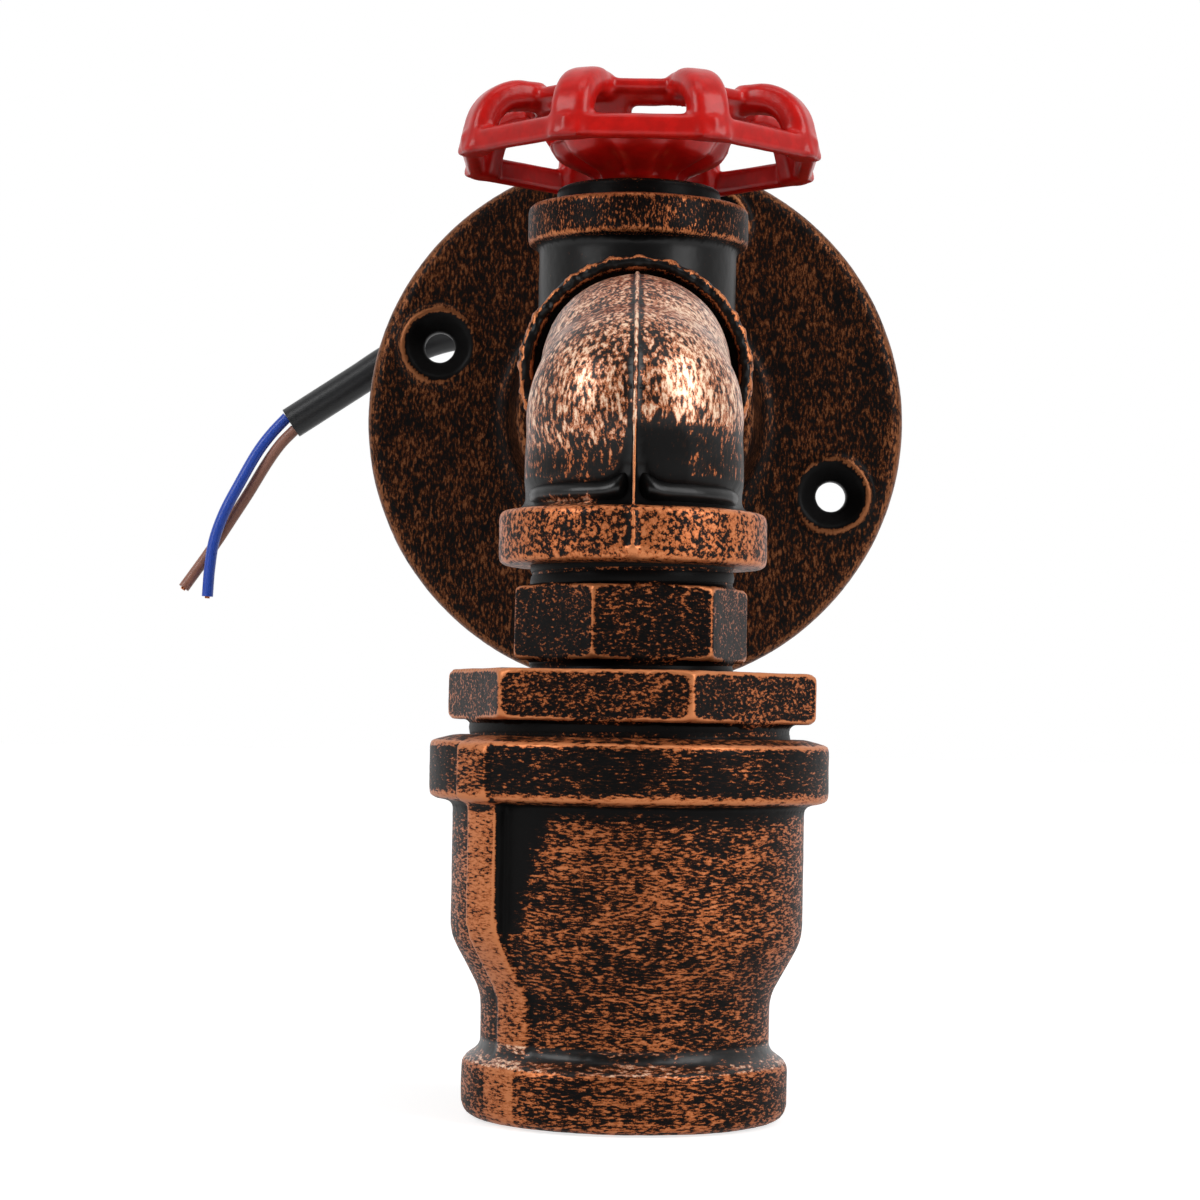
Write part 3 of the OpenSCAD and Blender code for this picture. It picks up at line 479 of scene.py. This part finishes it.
def plain_finish(name, tint, roughness, metallic=0.0, grain=2.0, stretch=(1, 1, 1), vary=0.25, coat=0.0):
    """A finish with fine grain and a slow change of tone"""
    sheet = Sheet(bpy.data.materials.new(name))
    fine = sheet.noise(sheet.places(stretch), grain, 3.0)
    slow = sheet.noise(sheet.places(), 0.2, 2.0)
    worn = tuple((1 - vary) * part for part in tint)
    sheet.set(
        Base_Color=sheet.mix(sheet.sum((fine, 0.6), (slow, 0.4)), worn, tint),
        Metallic=metallic,
        Roughness=sheet.sum((fine, 0.2), (1.0, roughness - 0.1)),
        Coat_Weight=coat,
        Coat_Roughness=0.1,
    )
    sheet.bump(fine, 0.2, 0.05)
    return sheet.material


# Stage


class PIPELIGHT_OT_stage(bpy.types.Operator):
    """Adds the camera, the lights, the floor and the white background"""

    bl_idname = "pipelight.stage"
    bl_label = "Stage"

    def execute(self, context):
        stage = settings().stage
        scene = context.scene
        scene.view_settings.view_transform = "Standard"
        self.camera(scene, stage)
        self.world(scene, stage)
        self.lamp("key left", (-0.56, -0.45, 0.36), (0.36, 0.45), stage.key)
        self.lamp("key right", (0.56, -0.45, 0.36), (0.4, 0.72), stage.key * 1.55)
        self.lamp("top", (0.0, -0.3, 0.8), (0.5, 0.3), stage.key * 0.35)
        self.floor(stage)
        return {"FINISHED"}

    def camera(self, scene, stage):
        data = bpy.data.cameras.new("camera")
        data.lens = stage.lens
        data.sensor_width = 36
        data.clip_start = 0.01
        camera = bpy.data.objects.new("camera", data)
        scene.collection.objects.link(camera)
        turn = Matrix.Rotation(stage.yaw, 4, "Z") @ Matrix.Rotation(math.pi / 2 + stage.pitch, 4, "X")
        turn = turn @ Matrix.Rotation(stage.roll, 4, "Z")
        camera.matrix_world = Matrix.Translation((0, -stage.camera_y, -stage.camera_drop)) @ turn
        scene.camera = camera

    def world(self, scene, stage):
        """White for the camera; metal sees white behind the light, pale sides and a dim room in front"""
        scene.world = bpy.data.worlds.new("studio")
        sheet = Sheet(scene.world)
        direction = sheet.add("ShaderNodeTexCoord", {}).outputs["Generated"]
        across, back, up = sheet.add("ShaderNodeSeparateXYZ", {0: direction}).outputs
        room = sheet.ramp(back, -0.3, 0.35, stage.room, 1.0)
        sides = sheet.ramp(sheet.math("ABSOLUTE", across), 0.45, 0.9, 0.0, stage.sides)
        sides = sheet.math("MULTIPLY", sides, sheet.ramp(up, -0.3, 0.1))
        glow = sheet.blend(sheet.mirrored(), stage.ambient, sheet.math("MAXIMUM", room, sides))
        sheet.set(Color=(1, 1, 1), Strength=sheet.blend(sheet.seen(), glow, 1.0))

    def lamp(self, name, spot, size, power):
        data = bpy.data.lights.new(name, "AREA")
        data.shape = "RECTANGLE"
        data.size, data.size_y = size
        data.energy = power
        lamp = bpy.data.objects.new(name, data)
        bpy.context.scene.collection.objects.link(lamp)
        aim = Vector((0, -0.09, -0.02)) - Vector(spot)
        lamp.matrix_world = Matrix.Translation(spot) @ aim.to_track_quat("-Z", "Y").to_matrix().to_4x4()

    def floor(self, stage):
        """A pale floor that is white to the camera and to metal, and keeps the shadow"""
        bpy.ops.object.select_all(action="DESELECT")
        bpy.ops.mesh.primitive_plane_add(size=8, location=(0, 0, FLOOR_Z - 0.2 * MM))
        floor = bpy.context.object
        floor.name = "floor"
        bpy.ops.object.transform_apply(location=True, rotation=True, scale=True)
        sheet = Sheet(bpy.data.materials.new("pale floor"))
        spot = sheet.add("ShaderNodeVectorMath", {0: sheet.places()}, operation="LENGTH").outputs["Value"]
        seen = sheet.ramp(spot, 120, 420, 0.76 * stage.floor_glow, stage.floor_glow)
        mirrored = sheet.ramp(spot, 120, 420, 0.45 * stage.floor_glow, stage.floor_glow)
        glow = sheet.sum((sheet.seen(), seen), (sheet.mirrored(), mirrored))
        sheet.set(
            Base_Color=(0.62, 0.62, 0.62), Roughness=0.9, Specular_IOR_Level=0.1, Emission_Color=(1, 1, 1),
            Emission_Strength=glow,
        )
        floor.data.materials.append(sheet.material)


# Cable


def smooth_route(route, steps=6):
    """Points on a smooth curve through a route in millimetres"""
    points = [Vector(point) for point in route]
    points = [2 * points[0] - points[1], *points, 2 * points[-1] - points[-2]]
    curve = []
    for a, b, c, d in zip(points, points[1:], points[2:], points[3:]):
        for step in range(steps):
            t = step / steps
            bow = (2 * a - 5 * b + 4 * c - d) * t**2 + (3 * b - a - 3 * c + d) * t**3
            curve.append(0.5 * (2 * b + (c - a) * t + bow))
    curve.append(points[-2])
    return [point * MM for point in curve]


def route_length(points):
    return sum((b - a).length for a, b in zip(points, points[1:]))


class PIPELIGHT_OT_cable(bpy.types.Operator):
    """Lays the black cable that leaves the back of the flange, with its two cores"""

    bl_idname = "pipelight.cable"
    bl_label = "Cable"

    def execute(self, context):
        cable = settings().cable
        finishes = settings().finishes
        black = plain_finish("cable sheath", finishes.sheath, 0.42, grain=1.2, vary=0.4)
        blue = plain_finish("blue insulation", finishes.blue, 0.36, grain=1.6, vary=0.3)
        brown = plain_finish("brown insulation", finishes.brown, 0.4, grain=1.6, vary=0.3)
        wire = plain_finish("copper wire", finishes.bright_copper, 0.3, 1.0, 6.0)
        self.lay("supply_cable_sheath", SHEATH_ROUTE, cable.sheath_d, black, "cable_sheath", "supply_cable")
        for name, route, finish, slot, node in (
            ("blue_core_insulation", BLUE_ROUTE, blue, "blue_insulation", "blue_core"),
            ("brown_core_insulation", BROWN_ROUTE, brown, "brown_insulation", "brown_core"),
        ):
            strands = self.strands(node + "_strands", route, cable, wire)
            self.lay(name, route, cable.core_d, finish, slot, node, [strands])
        return {"FINISHED"}

    def lay(self, name, route, diameter, finish, slot, node, ends=()):
        points = smooth_route(route)
        curve = bpy.data.curves.new(name, "CURVE")
        curve.dimensions = "3D"
        curve.bevel_depth = diameter / 2
        curve.bevel_resolution = 6
        curve.use_fill_caps = True
        spline = curve.splines.new("POLY")
        spline.points.add(len(points) - 1)
        for spot, point in zip(spline.points, points):
            spot.co = (*point, 1)
        spline.use_smooth = True
        piece = bpy.data.objects.new(name, curve)
        bpy.context.scene.collection.objects.link(piece)
        place(piece, "fixture", slot, finish, node)
        tuple(points[0])
        route_length(points)

    def strands(self, name, route, cable, wire):
        """Seven copper strands that stand a little out of a core's cut end"""
        points = smooth_route(route)
        way = (points[-1] - points[-2]).normalized()
        turn = way.to_track_quat("Z", "Y").to_matrix().to_4x4()
        bpy.ops.object.select_all(action="DESELECT")
        bpy.ops.mesh.primitive_circle_add(vertices=10, radius=cable.strand_d / 2, fill_type="NGON")
        piece = bpy.context.object
        piece.name = name
        out = 0.35 * MM
        edit(
            piece,
            (bpy.ops.mesh.extrude_region_move, {"TRANSFORM_OT_translate": {"value": (0, 0, 2 * out)}}),
            (bpy.ops.mesh.select_all, {"action": "SELECT"}),
            (bpy.ops.mesh.normals_make_consistent, {}),
        )
        modify(piece, "BEVEL", width=0.05 * MM, segments=2, limit_method="ANGLE")
        ring = piece.data.copy()
        for step in range(6):
            side = Vector((math.cos(step * TAU / 6), math.sin(step * TAU / 6), 0)) * cable.strand_d
            copy = bpy.data.objects.new(name, ring.copy())
            copy.data.transform(Matrix.Translation(side))
            bpy.context.scene.collection.objects.link(copy)
            select_only(piece)
            copy.select_set(True)
            bpy.ops.object.join()
        piece.data.transform(Matrix.Translation(points[-1] - way * out) @ turn)
        return place(piece, "fixture", "brass", wire)


# Castings


class PIPELIGHT_OT_castings(bpy.types.Operator):
    """Turns the pipe fittings into sand castings in antique copper"""

    bl_idname = "pipelight.castings"
    bl_label = "Castings"

    def execute(self, context):
        castings = settings().castings
        upright, level, dabbed = (1, 1, 0.4), (0.28, 0.28, 1), (0.45, 0.45, 0.8)
        shaped = {
            "wall_flange": self.shade_screw_holes, "tee": self.rag_mouth, "street_elbow": self.shape_heel,
            "bell_reducer": self.shade_rib,
        }
        # The tone column is partly painted light: the elbow's copper is raised for its dome, lit from above,
        # and the bell's for its right side, lit by the right lamp.
        for node, voxel, soften, stretch, cover, edges, hollows, tone in (
            ("wall_flange", 1.05, 3, (0.7, 0.7, 0.28), -0.01, 0.4, 0.05, 0.16),
            ("wall_nipple", 0.9, 1, level, -0.1, 0.2, 0.2, 0.6),
            ("tee", 1.1, 4, upright, -0.14, 0.3, 0.2, 0.9),
            ("street_elbow", 0.92, 3, (0.5, 0.5, 0.22), 0.03, 0.4, 0.3, 1.3),
            ("hex_nipple", 0.9, 2, dabbed, -0.12, 0.6, 0.2, 0.95),
            ("hex_bushing", 1.0, 2, dabbed, -0.11, 0.6, 0.2, 1.05),
            ("bell_reducer", 1.1, 3, level, -0.04, 0.36, 0.12, 1.12),
        ):
            piece = node_copy(node, node + "_casting")
            cast(piece, castings.voxel * voxel, soften)
            if node in shaped:
                shaped[node](piece)
            roughen(piece, castings.swell, castings.grain)
            wear_map(piece)
            title = "antique copper " + node.replace("_", " ")
            finish = antique_copper(title, stretch, cover, edges, hollows, tone)
            place(piece, "fixture", "antique_copper", finish, node)
        plug = node_copy("bonnet_plug", "bonnet_plug_casting")
        cast(plug, castings.voxel * 0.85, 2)
        roughen(plug, castings.swell * 0.5, castings.grain)
        wear_map(plug)
        finish = antique_copper("rubbed black plug", (1, 1, 1), -0.36, tone=0.7)
        place(plug, "fixture", "black_enamel", finish, "bonnet_plug")
        return {"FINISHED"}

    def shade_screw_holes(self, flange):
        """Blackens the countersinks, and rubs their lips and the flange's edge"""
        points = corners(flange) / MM
        mount = next(mount for mount in frame["record"]["mounts"] if mount["name"] == "wall_screws")
        count = mount["dims"]["count"]
        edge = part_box("wall_flange")[1].x / MM - 1.1
        painted_shade_and_rub = np.where(np.hypot(points[:, 0], points[:, 2]) > edge, -0.3, 0.0)
        for step in range(count):
            turn = SCREW_TURN + step * TAU / count
            spot = mount["dims"]["pcd_mm"] / 2 * np.array((math.cos(turn), math.sin(turn)))
            reach = np.hypot(points[:, 0] - spot[0], points[:, 2] - spot[1])
            painted_shade_and_rub[(reach < 6.1) & (points[:, 1] < -1)] = -0.2
            painted_shade_and_rub[(reach < 5.6) & (points[:, 1] < -1)] = 1.0
        store(flange, "painted_shade_and_rub", painted_shade_and_rub)

    def shape_heel(self, elbow):
        """Rounds the elbow's bend, sinks the hollow under the two lobes of its heel, paints shade under the
        lobes and along the hollow, and paints a highlight on the dome's right side
        """
        x, y, z = (corners(elbow) / MM).T
        side = abs(x)
        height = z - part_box("street_elbow")[0].z / MM - ELBOW_BAND
        bend = soft_step((side - 1) / 1.6) * soft_step((height - 2) / 2)
        modify(elbow, "SMOOTH", vertex_group=zone(elbow, "bend", bend), factor=0.5, iterations=70)
        flank = soft_step((side - 7) / 3) * soft_step((height - 12) / 3) * soft_step((27 - height) / 3)
        modify(elbow, "SMOOTH", vertex_group=zone(elbow, "flank", flank), factor=0.5, iterations=160)
        narrow(elbow, (side < 1.3) & (height > -5.2))
        inner = np.clip((4.6 - side) / 3.6, 0, 1)
        brink = 2.6 + 3.6 * (1 - np.sqrt(1 - inner**2)) + 3 * np.clip((1.6 - side) / 0.8, 0, 1)
        front = np.clip((LAMP_Y / MM + 2 - y) / 8, 0, 1)
        sunk = soft_step((brink + 1.4 - height) / 2.8) * soft_step((side - 0.4) / 1.6)
        sunk = sunk * front * np.clip(height / 2.2, 0, 1)
        hollow = zone(elbow, "hollow", sunk)
        modify(elbow, "DISPLACE", vertex_group=hollow, mid_level=0.0, strength=-2 * MM)
        soft = soft_step((brink + 2.8 - height) / 1.4) * front * (side > 0.6) * (height > 0.3)
        modify(elbow, "SMOOTH", vertex_group=zone(elbow, "brink", soft), factor=0.5, iterations=16)
        # Painted shade: the lobes' lower parts, which face down, are blackened, most on the right. A little
        # more copper high on the dome's right side is a painted highlight.
        right = 0.62 * np.clip((11.5 - height) / 3, 0, 1) * (1 - 0.5 * soft_step((x - 5.5) / 2))
        right = right - 0.12 * soft_step((x - 2) / 3) * soft_step((height - 10.5) / 2.5)
        left = 0.28 * np.clip((10 - height) / 4, 0, 1)
        painted_shade_and_rub = np.where(x > 0, right, left) * (y < LAMP_Y / MM + 4)
        band = height < 0.2
        # Lacquer is high over the dome and in the hollow; the pale copper there is a painted sheen.
        store(elbow, "lacquer_and_painted_sheen", np.where(band, 0.08, np.clip(0.45 - painted_shade_and_rub, 0.05, 1) + 0.5 * sunk))
        # Painted shade along the brink above the hollow; the left fillet keeps a copper rub.
        dark = soft_step((brink + 2.6 - height) / 1.8) * np.clip(2 * front, 0, 1)
        rubbed = soft_step((-3.5 - x) / 2) * soft_step((x + 13) / 3)
        painted_shade_and_rub = np.maximum(painted_shade_and_rub, 2 * dark * (1 - 0.85 * rubbed) - 1)
        painted_shade_and_rub = painted_shade_and_rub - 0.9 * rubbed * soft_step((2.8 - height) / 1.4)
        painted_shade_and_rub = np.where(band, 0.04, painted_shade_and_rub)
        store(elbow, "painted_shade_and_rub", np.where(side < 0.5, -0.1, painted_shade_and_rub))
        store(elbow, "dabbed", 1.0 * band)

    def shade_rib(self, bell):
        """Rubs the bell's front rib, paints shade beside it, partly as black paint, and darkens the middle
        of the upper band
        """
        x, y, z = (corners(bell) / MM).T
        y = y - LAMP_Y / MM
        out = x * math.cos(RIB_TURN) + y * math.sin(RIB_TURN)
        across = y * math.cos(RIB_TURN) - x * math.sin(RIB_TURN)
        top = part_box("bell_reducer")[1].z / MM
        body = np.clip((top - BELL_BAND - z) / 0.8, 0, 1) * np.clip((z - top + 27) / 4, 0, 1)
        width = 4.6 + 5.4 * np.clip((z - top + 26) / 17, 0, 1)
        # Painted shade, partly black paint: a black strip beside the rib's right flank, widest at the top.
        beside = (across > 2.9) * np.clip((width - across) / 3.5, 0, 1) * body
        painted_shade_and_rub = (out > 0) * np.where(abs(across) <= 2.9, -0.28, beside)
        store(bell, "painted_shade_and_rub", painted_shade_and_rub + 0.2 * (z > top - 7) * (z < top - 1))
        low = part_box("bell_reducer")[0].z / MM
        # Lacquer in the recess above the lower band; the pale copper there is a painted sheen.
        store(bell, "lacquer_and_painted_sheen", 0.5 * (abs(z - low - 8.8) < 1.3))

    def rag_mouth(self, tee):
        """Roughens the rim of the tee's front mouth, steps its chamfer, paints shade into the chamfer and
        blackens the neck
        """
        points = corners(tee) / MM
        normals = corners(tee, "normal")
        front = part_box("tee")[0].y / MM
        radius = np.hypot(points[:, 0], points[:, 2])
        near = points[:, 1] < front + 4
        outer = radius[near].max()
        rim = (points[:, 1] < front + 1.6) & (radius > outer - 1.8)
        inward = -(normals[:, 0] * points[:, 0] + normals[:, 2] * points[:, 2]) / np.maximum(radius, 1)
        lip = outer - 1.9
        sunk = near & (inward > 0.1) & (radius < lip)
        neck = points[:, 2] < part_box("tee")[1].z / MM - TEE_BAND
        painted_shade_and_rub = 0.38 * neck * soft_step((points[:, 2] - outer + 9) / 5)
        # Painted shade: the mouth's chamfer, in shadow around the elbow's neck, is blackened.
        painted_shade_and_rub[(points[:, 1] < front + 6) & (inward > -0.35) & (radius < outer - 0.4)] = 1.0
        painted_shade_and_rub[near & (abs(radius - lip) < 0.3)] = -0.2
        painted_shade_and_rub[(points[:, 1] < front + 0.7) & (radius > outer - 0.5)] = -0.2
        store(tee, "painted_shade_and_rub", painted_shade_and_rub)
        # Lacquer on the blackened neck and chamfer; its coat gives their sheen, and what little copper they
        # have turns pale as a painted sheen.
        store(tee, "lacquer_and_painted_sheen", np.clip(painted_shade_and_rub, 0, 0.3))
        step = zone(tee, "step", sunk)
        modify(tee, "DISPLACE", direction="Y", vertex_group=step, mid_level=0.0, strength=MM)
        modify(
            tee, "DISPLACE", texture=clouds("ragged rim", 1.6 * MM, 1), texture_coords="LOCAL",
            vertex_group=zone(tee, "rim", rim), mid_level=0.5, strength=1.1 * MM,
        )


class PIPELIGHT_OT_threads(bpy.types.Operator):
    """Winds the pipe threads that show between the fittings"""

    bl_idname = "pipelight.threads"
    bl_label = "Threads"

    def execute(self, context):
        # Painted shade: the threads sit in the shadowed gaps between the fittings, so their copper is dimmed
        # and mostly covered.
        finish = antique_copper("antique copper threads", (1, 1, 1), -0.4, tone=0.5)
        zinc = plain_finish("stem thread zinc", settings().finishes.zinc, 0.3, 1.0)
        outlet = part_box("street_elbow")[0].z
        hex_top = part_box("hex_bushing")[1].z
        bell_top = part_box("bell_reducer")[1].z
        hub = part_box("wall_flange")[0].y
        lamp = Matrix.Translation((0, LAMP_Y, 0))
        run = Matrix.Rotation(math.pi / 2, 4, "X")
        for name, thread, low, high, turn in (
            ("neck_thread", PIPE_THREAD, outlet - 3.0 * MM, outlet + 1.5 * MM, lamp),
            ("lower_neck_thread", PIPE_THREAD, hex_top - 1.5 * MM, hex_top + 1.6 * MM, lamp),
            ("bushing_thread", BUSHING_THREAD, bell_top - 2.5 * MM, bell_top + 2.4 * MM, lamp),
            ("wall_nipple_thread", PIPE_THREAD, -hub - 1.5 * MM, -hub + 6.5 * MM, run),
        ):
            piece = self.ridge(name, thread, low, high)
            piece.data.transform(turn)
            place(piece, "fixture", "antique_copper", finish)
        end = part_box("stem")[1].z
        tip = self.ridge("stem_thread", STEM_THREAD, end - 6 * MM, end - 0.7 * MM)
        tip.data.transform(Matrix.Translation((0, WHEEL_Y, 0)))
        place(tip, "wheel", "bright_steel", zinc)
        return {"FINISHED"}

    def ridge(self, name, thread, low, high):
        """A thread ridge wound from low to high round the z axis"""
        radius, pitch = (size * MM for size in thread)
        bpy.ops.object.select_all(action="DESELECT")
        bpy.ops.mesh.primitive_circle_add(vertices=6, radius=0.42 * pitch, fill_type="NGON")
        piece = bpy.context.object
        piece.name = name
        flat = 0.6 * MM / pitch
        piece.data.transform(Matrix.Rotation(math.pi / 2, 4, "X") @ Matrix.Rotation(math.pi / 6, 4, "Z"))
        piece.data.transform(Matrix.Translation((radius, 0, low)) @ Matrix.Diagonal((flat, 1, 1, 1)))
        turns = max(1, round((high - low) / pitch))
        wind(piece, pitch, turns)
        edit(
            piece,
            (bpy.ops.mesh.remove_doubles, {"threshold": 0.002 * MM}),
            (bpy.ops.mesh.normals_make_consistent, {}),
        )
        select_only(piece)
        bpy.ops.object.shade_smooth_by_angle(angle=math.radians(50))
        return piece


# Handwheel


class PIPELIGHT_OT_handwheel(bpy.types.Operator):
    """Casts the handwheel with soft fillets in red enamel, and fits its nut, washer and stem"""

    bl_idname = "pipelight.handwheel"
    bl_label = "Handwheel"

    def execute(self, context):
        castings = settings().castings
        finishes = settings().finishes
        wheel = node_copy("handwheel", "handwheel_casting")
        cast(wheel, castings.wheel_voxel, 12)
        self.crease(wheel)
        modify(wheel, "DISPLACE", mid_level=0.0, strength=0.06 * MM)
        roughen(wheel, castings.swell * 1.2, castings.grain * 0.35)
        wear_map(wheel)
        place(wheel, "wheel", "red_enamel", red_enamel(), "handwheel")
        zinc = plain_finish("zinc plate", finishes.zinc, 0.34, 1.0, 1.2, vary=0.3)
        for node in ("wheel_nut", "wheel_washer", "stem"):
            soft_edges(node, node + "_turned", "wheel", "bright_steel", zinc)
        return {"FINISHED"}

    def crease(self, wheel):
        """Sinks a crease into the underside of the wheel's dish below each rib"""
        x, y = (corners(wheel) / MM)[:, :2].T
        y = y - WHEEL_Y / MM
        radius = np.hypot(x, y)
        turn = np.arctan2(y, x) - math.pi / WHEEL_RIBS
        under = soft_step(-corners(wheel, "normal")[:, 2] / 0.4)
        dish = soft_step((radius - 5) / 2) * soft_step((15.5 - radius) / 3) * under
        weights = dish * (0.5 + 0.5 * np.cos(WHEEL_RIBS * turn)) ** 3
        creases = zone(wheel, "creases", weights)
        modify(wheel, "DISPLACE", vertex_group=creases, mid_level=0.0, strength=-MM)


def soft_edges(node, name, body, slot, finish, width=0.18):
    """A copy of a machined node with its edges broken"""
    piece = node_copy(node, name)
    edit(piece, (bpy.ops.mesh.tris_convert_to_quads, {"face_threshold": 0.02, "shape_threshold": 0.7}))
    modify(
        piece, "BEVEL", width=width * MM, segments=2, limit_method="ANGLE", angle_limit=math.radians(40),
        use_clamp_overlap=True,
    )
    select_only(piece)
    bpy.ops.object.shade_smooth_by_angle(angle=math.radians(35))
    return place(piece, body, slot, finish, node)


# Lampholder


class PIPELIGHT_OT_lampholder(bpy.types.Operator):
    """Fits the glazed lampholder with its rolled screw shell and its contact"""

    bl_idname = "pipelight.lampholder"
    bl_label = "Lampholder"

    def execute(self, context):
        finishes = settings().finishes
        brass = plain_finish("rolled brass", finishes.brass, 0.26, 1.0, 1.0, (1, 1, 0.2))
        glaze = plain_finish("glazed ceramic", finishes.ceramic, 0.25, grain=0.6, vary=0.08, coat=0.6)
        self.shell(brass)
        soft_edges("lampholder_body", "lampholder_body_glazed", "fixture", "white_ceramic", glaze, 0.3)
        soft_edges("centre_contact", "centre_contact_pressed", "fixture", "brass", brass, 0.25)
        return {"FINISHED"}

    def shell(self, brass):
        """A rolled thread of round waves, wound round the lamp axis and closed by its seat"""
        low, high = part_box("screw_shell")
        outer = (high.x - low.x) / 2
        pitch, wave, steps = LAMP_THREAD_PITCH * MM, 0.55 * MM, 12
        wall = 0.35 * MM
        mid = outer - wall - wave
        bpy.ops.object.select_all(action="DESELECT")
        bpy.ops.mesh.primitive_circle_add(vertices=3, radius=1 * MM)
        piece = bpy.context.object
        piece.name = "screw_shell_rolled"
        edit(piece, (bpy.ops.mesh.delete, {"type": "VERT"}))
        piece.data.vertices.add(steps + 1)
        piece.data.edges.add(steps)
        start = low.z - pitch
        for step in range(steps + 1):
            radius = mid + wave * math.cos(step * TAU / steps)
            piece.data.vertices[step].co = (radius, 0, start + pitch * step / steps)
        for step in range(steps):
            piece.data.edges[step].vertices = (step, step + 1)
        turns = math.ceil((high.z - low.z) / pitch) + 1
        wind(piece, pitch, turns)
        edit(
            piece,
            (bpy.ops.mesh.remove_doubles, {"threshold": 0.01 * MM}),
            (bpy.ops.mesh.bisect, {"plane_co": (0, 0, low.z), "plane_no": (0, 0, 1), "clear_inner": True}),
            (bpy.ops.mesh.select_all, {"action": "SELECT"}),
            (bpy.ops.mesh.bisect, {"plane_co": (0, 0, high.z), "plane_no": (0, 0, 1), "clear_outer": True}),
            (bpy.ops.mesh.select_all, {"action": "SELECT"}),
            (bpy.ops.mesh.normals_make_consistent, {}),
        )
        modify(piece, "SOLIDIFY", thickness=wall, offset=0.0)
        piece.data.transform(Matrix.Translation((0, LAMP_Y, 0)))
        select_only(piece)
        bpy.ops.object.shade_smooth_by_angle(angle=math.radians(50))
        place(piece, "fixture", "brass", brass, "screw_shell")


# Inner pieces


class PIPELIGHT_OT_inner(bpy.types.Operator):
    """Finishes the pieces inside the pipe, which keep their machined shapes"""

    bl_idname = "pipelight.inner"
    bl_label = "Inner pieces"

    def execute(self, context):
        finishes = settings().finishes
        brass = plain_finish("turned brass", finishes.brass, 0.3, 1.0, 1.0)
        steel = plain_finish("plated steel", finishes.zinc, 0.34, 1.0, 1.2)
        moulded = plain_finish("black moulding", (0.02, 0.02, 0.021), 0.5, grain=3.0)
        rubber = plain_finish("black rubber", (0.014, 0.014, 0.014), 0.62, grain=2.0)
        pale = plain_finish("pale moulding", (0.72, 0.7, 0.64), 0.45, grain=2.0, vary=0.1)
        glaze = plain_finish("ceramic base", finishes.ceramic, 0.3, grain=0.6, vary=0.08, coat=0.4)
        sheath = plain_finish("inner sheath", finishes.sheath, 0.42, grain=1.2)
        blue = plain_finish("inner blue", finishes.blue, 0.36)
        brown = plain_finish("inner brown", finishes.brown, 0.4)
        for finish, nodes in (
            (brass, ("switch_bush", "switch_nut", "switch_terminals", "holder_terminals")),
            (steel, ("retaining_ring", "terminal_screws")),
            (moulded, ("switch_case", "switch_cover")),
            (rubber, ("cable_grommet",)),
            (pale, ("switch_rotor",)),
            (glaze, ("lampholder_base",)),
            (sheath, ("inner_cable",)),
            (blue, ("neutral_lead",)),
            (brown, ("live_lead", "switched_lead")),
        ):
            for node in nodes:
                data = frame["nodes"][node].data
                data.materials.clear()
                data.materials.append(finish)
        return {"FINISHED"}


class PIPELIGHT_PT_light(bpy.types.Panel):
    """Lists the steps that dress the light, and their settings"""

    bl_idname = "PIPELIGHT_PT_light"
    bl_label = "Pipe light"
    bl_space_type = "VIEW_3D"
    bl_region_type = "UI"
    bl_category = "Pipe light"

    def draw(self, context):
        light = context.scene.pipe_light
        for operator in OPERATORS:
            self.layout.operator(operator.bl_idname)
        for group in (light.finishes, light.castings, light.cable, light.stage):
            box = self.layout.box()
            for name in group.bl_rna.properties.keys():
                if name not in {"rna_type", "name"}:
                    box.prop(group, name)


OPERATORS = (
    PIPELIGHT_OT_stage,
    PIPELIGHT_OT_cable,
    PIPELIGHT_OT_castings,
    PIPELIGHT_OT_threads,
    PIPELIGHT_OT_handwheel,
    PIPELIGHT_OT_lampholder,
    PIPELIGHT_OT_inner,
)
CLASSES = (
    PIPELIGHT_PG_finishes,
    PIPELIGHT_PG_castings,
    PIPELIGHT_PG_cable,
    PIPELIGHT_PG_stage,
    PIPELIGHT_PG_light,
    *OPERATORS,
    PIPELIGHT_PT_light,
)


def register():
    for cls in CLASSES:
        bpy.utils.register_class(cls)
    bpy.types.Scene.pipe_light = PointerProperty(type=PIPELIGHT_PG_light)


def unregister():
    del bpy.types.Scene.pipe_light
    for cls in reversed(CLASSES):
        bpy.utils.unregister_class(cls)


def main():
    register()
    bpy.ops.pipelight.stage()
    bpy.ops.pipelight.cable()
    bpy.ops.pipelight.castings()
    bpy.ops.pipelight.threads()
    bpy.ops.pipelight.handwheel()
    bpy.ops.pipelight.lampholder()
    bpy.ops.pipelight.inner()


if __name__ == "__main__":
    main()
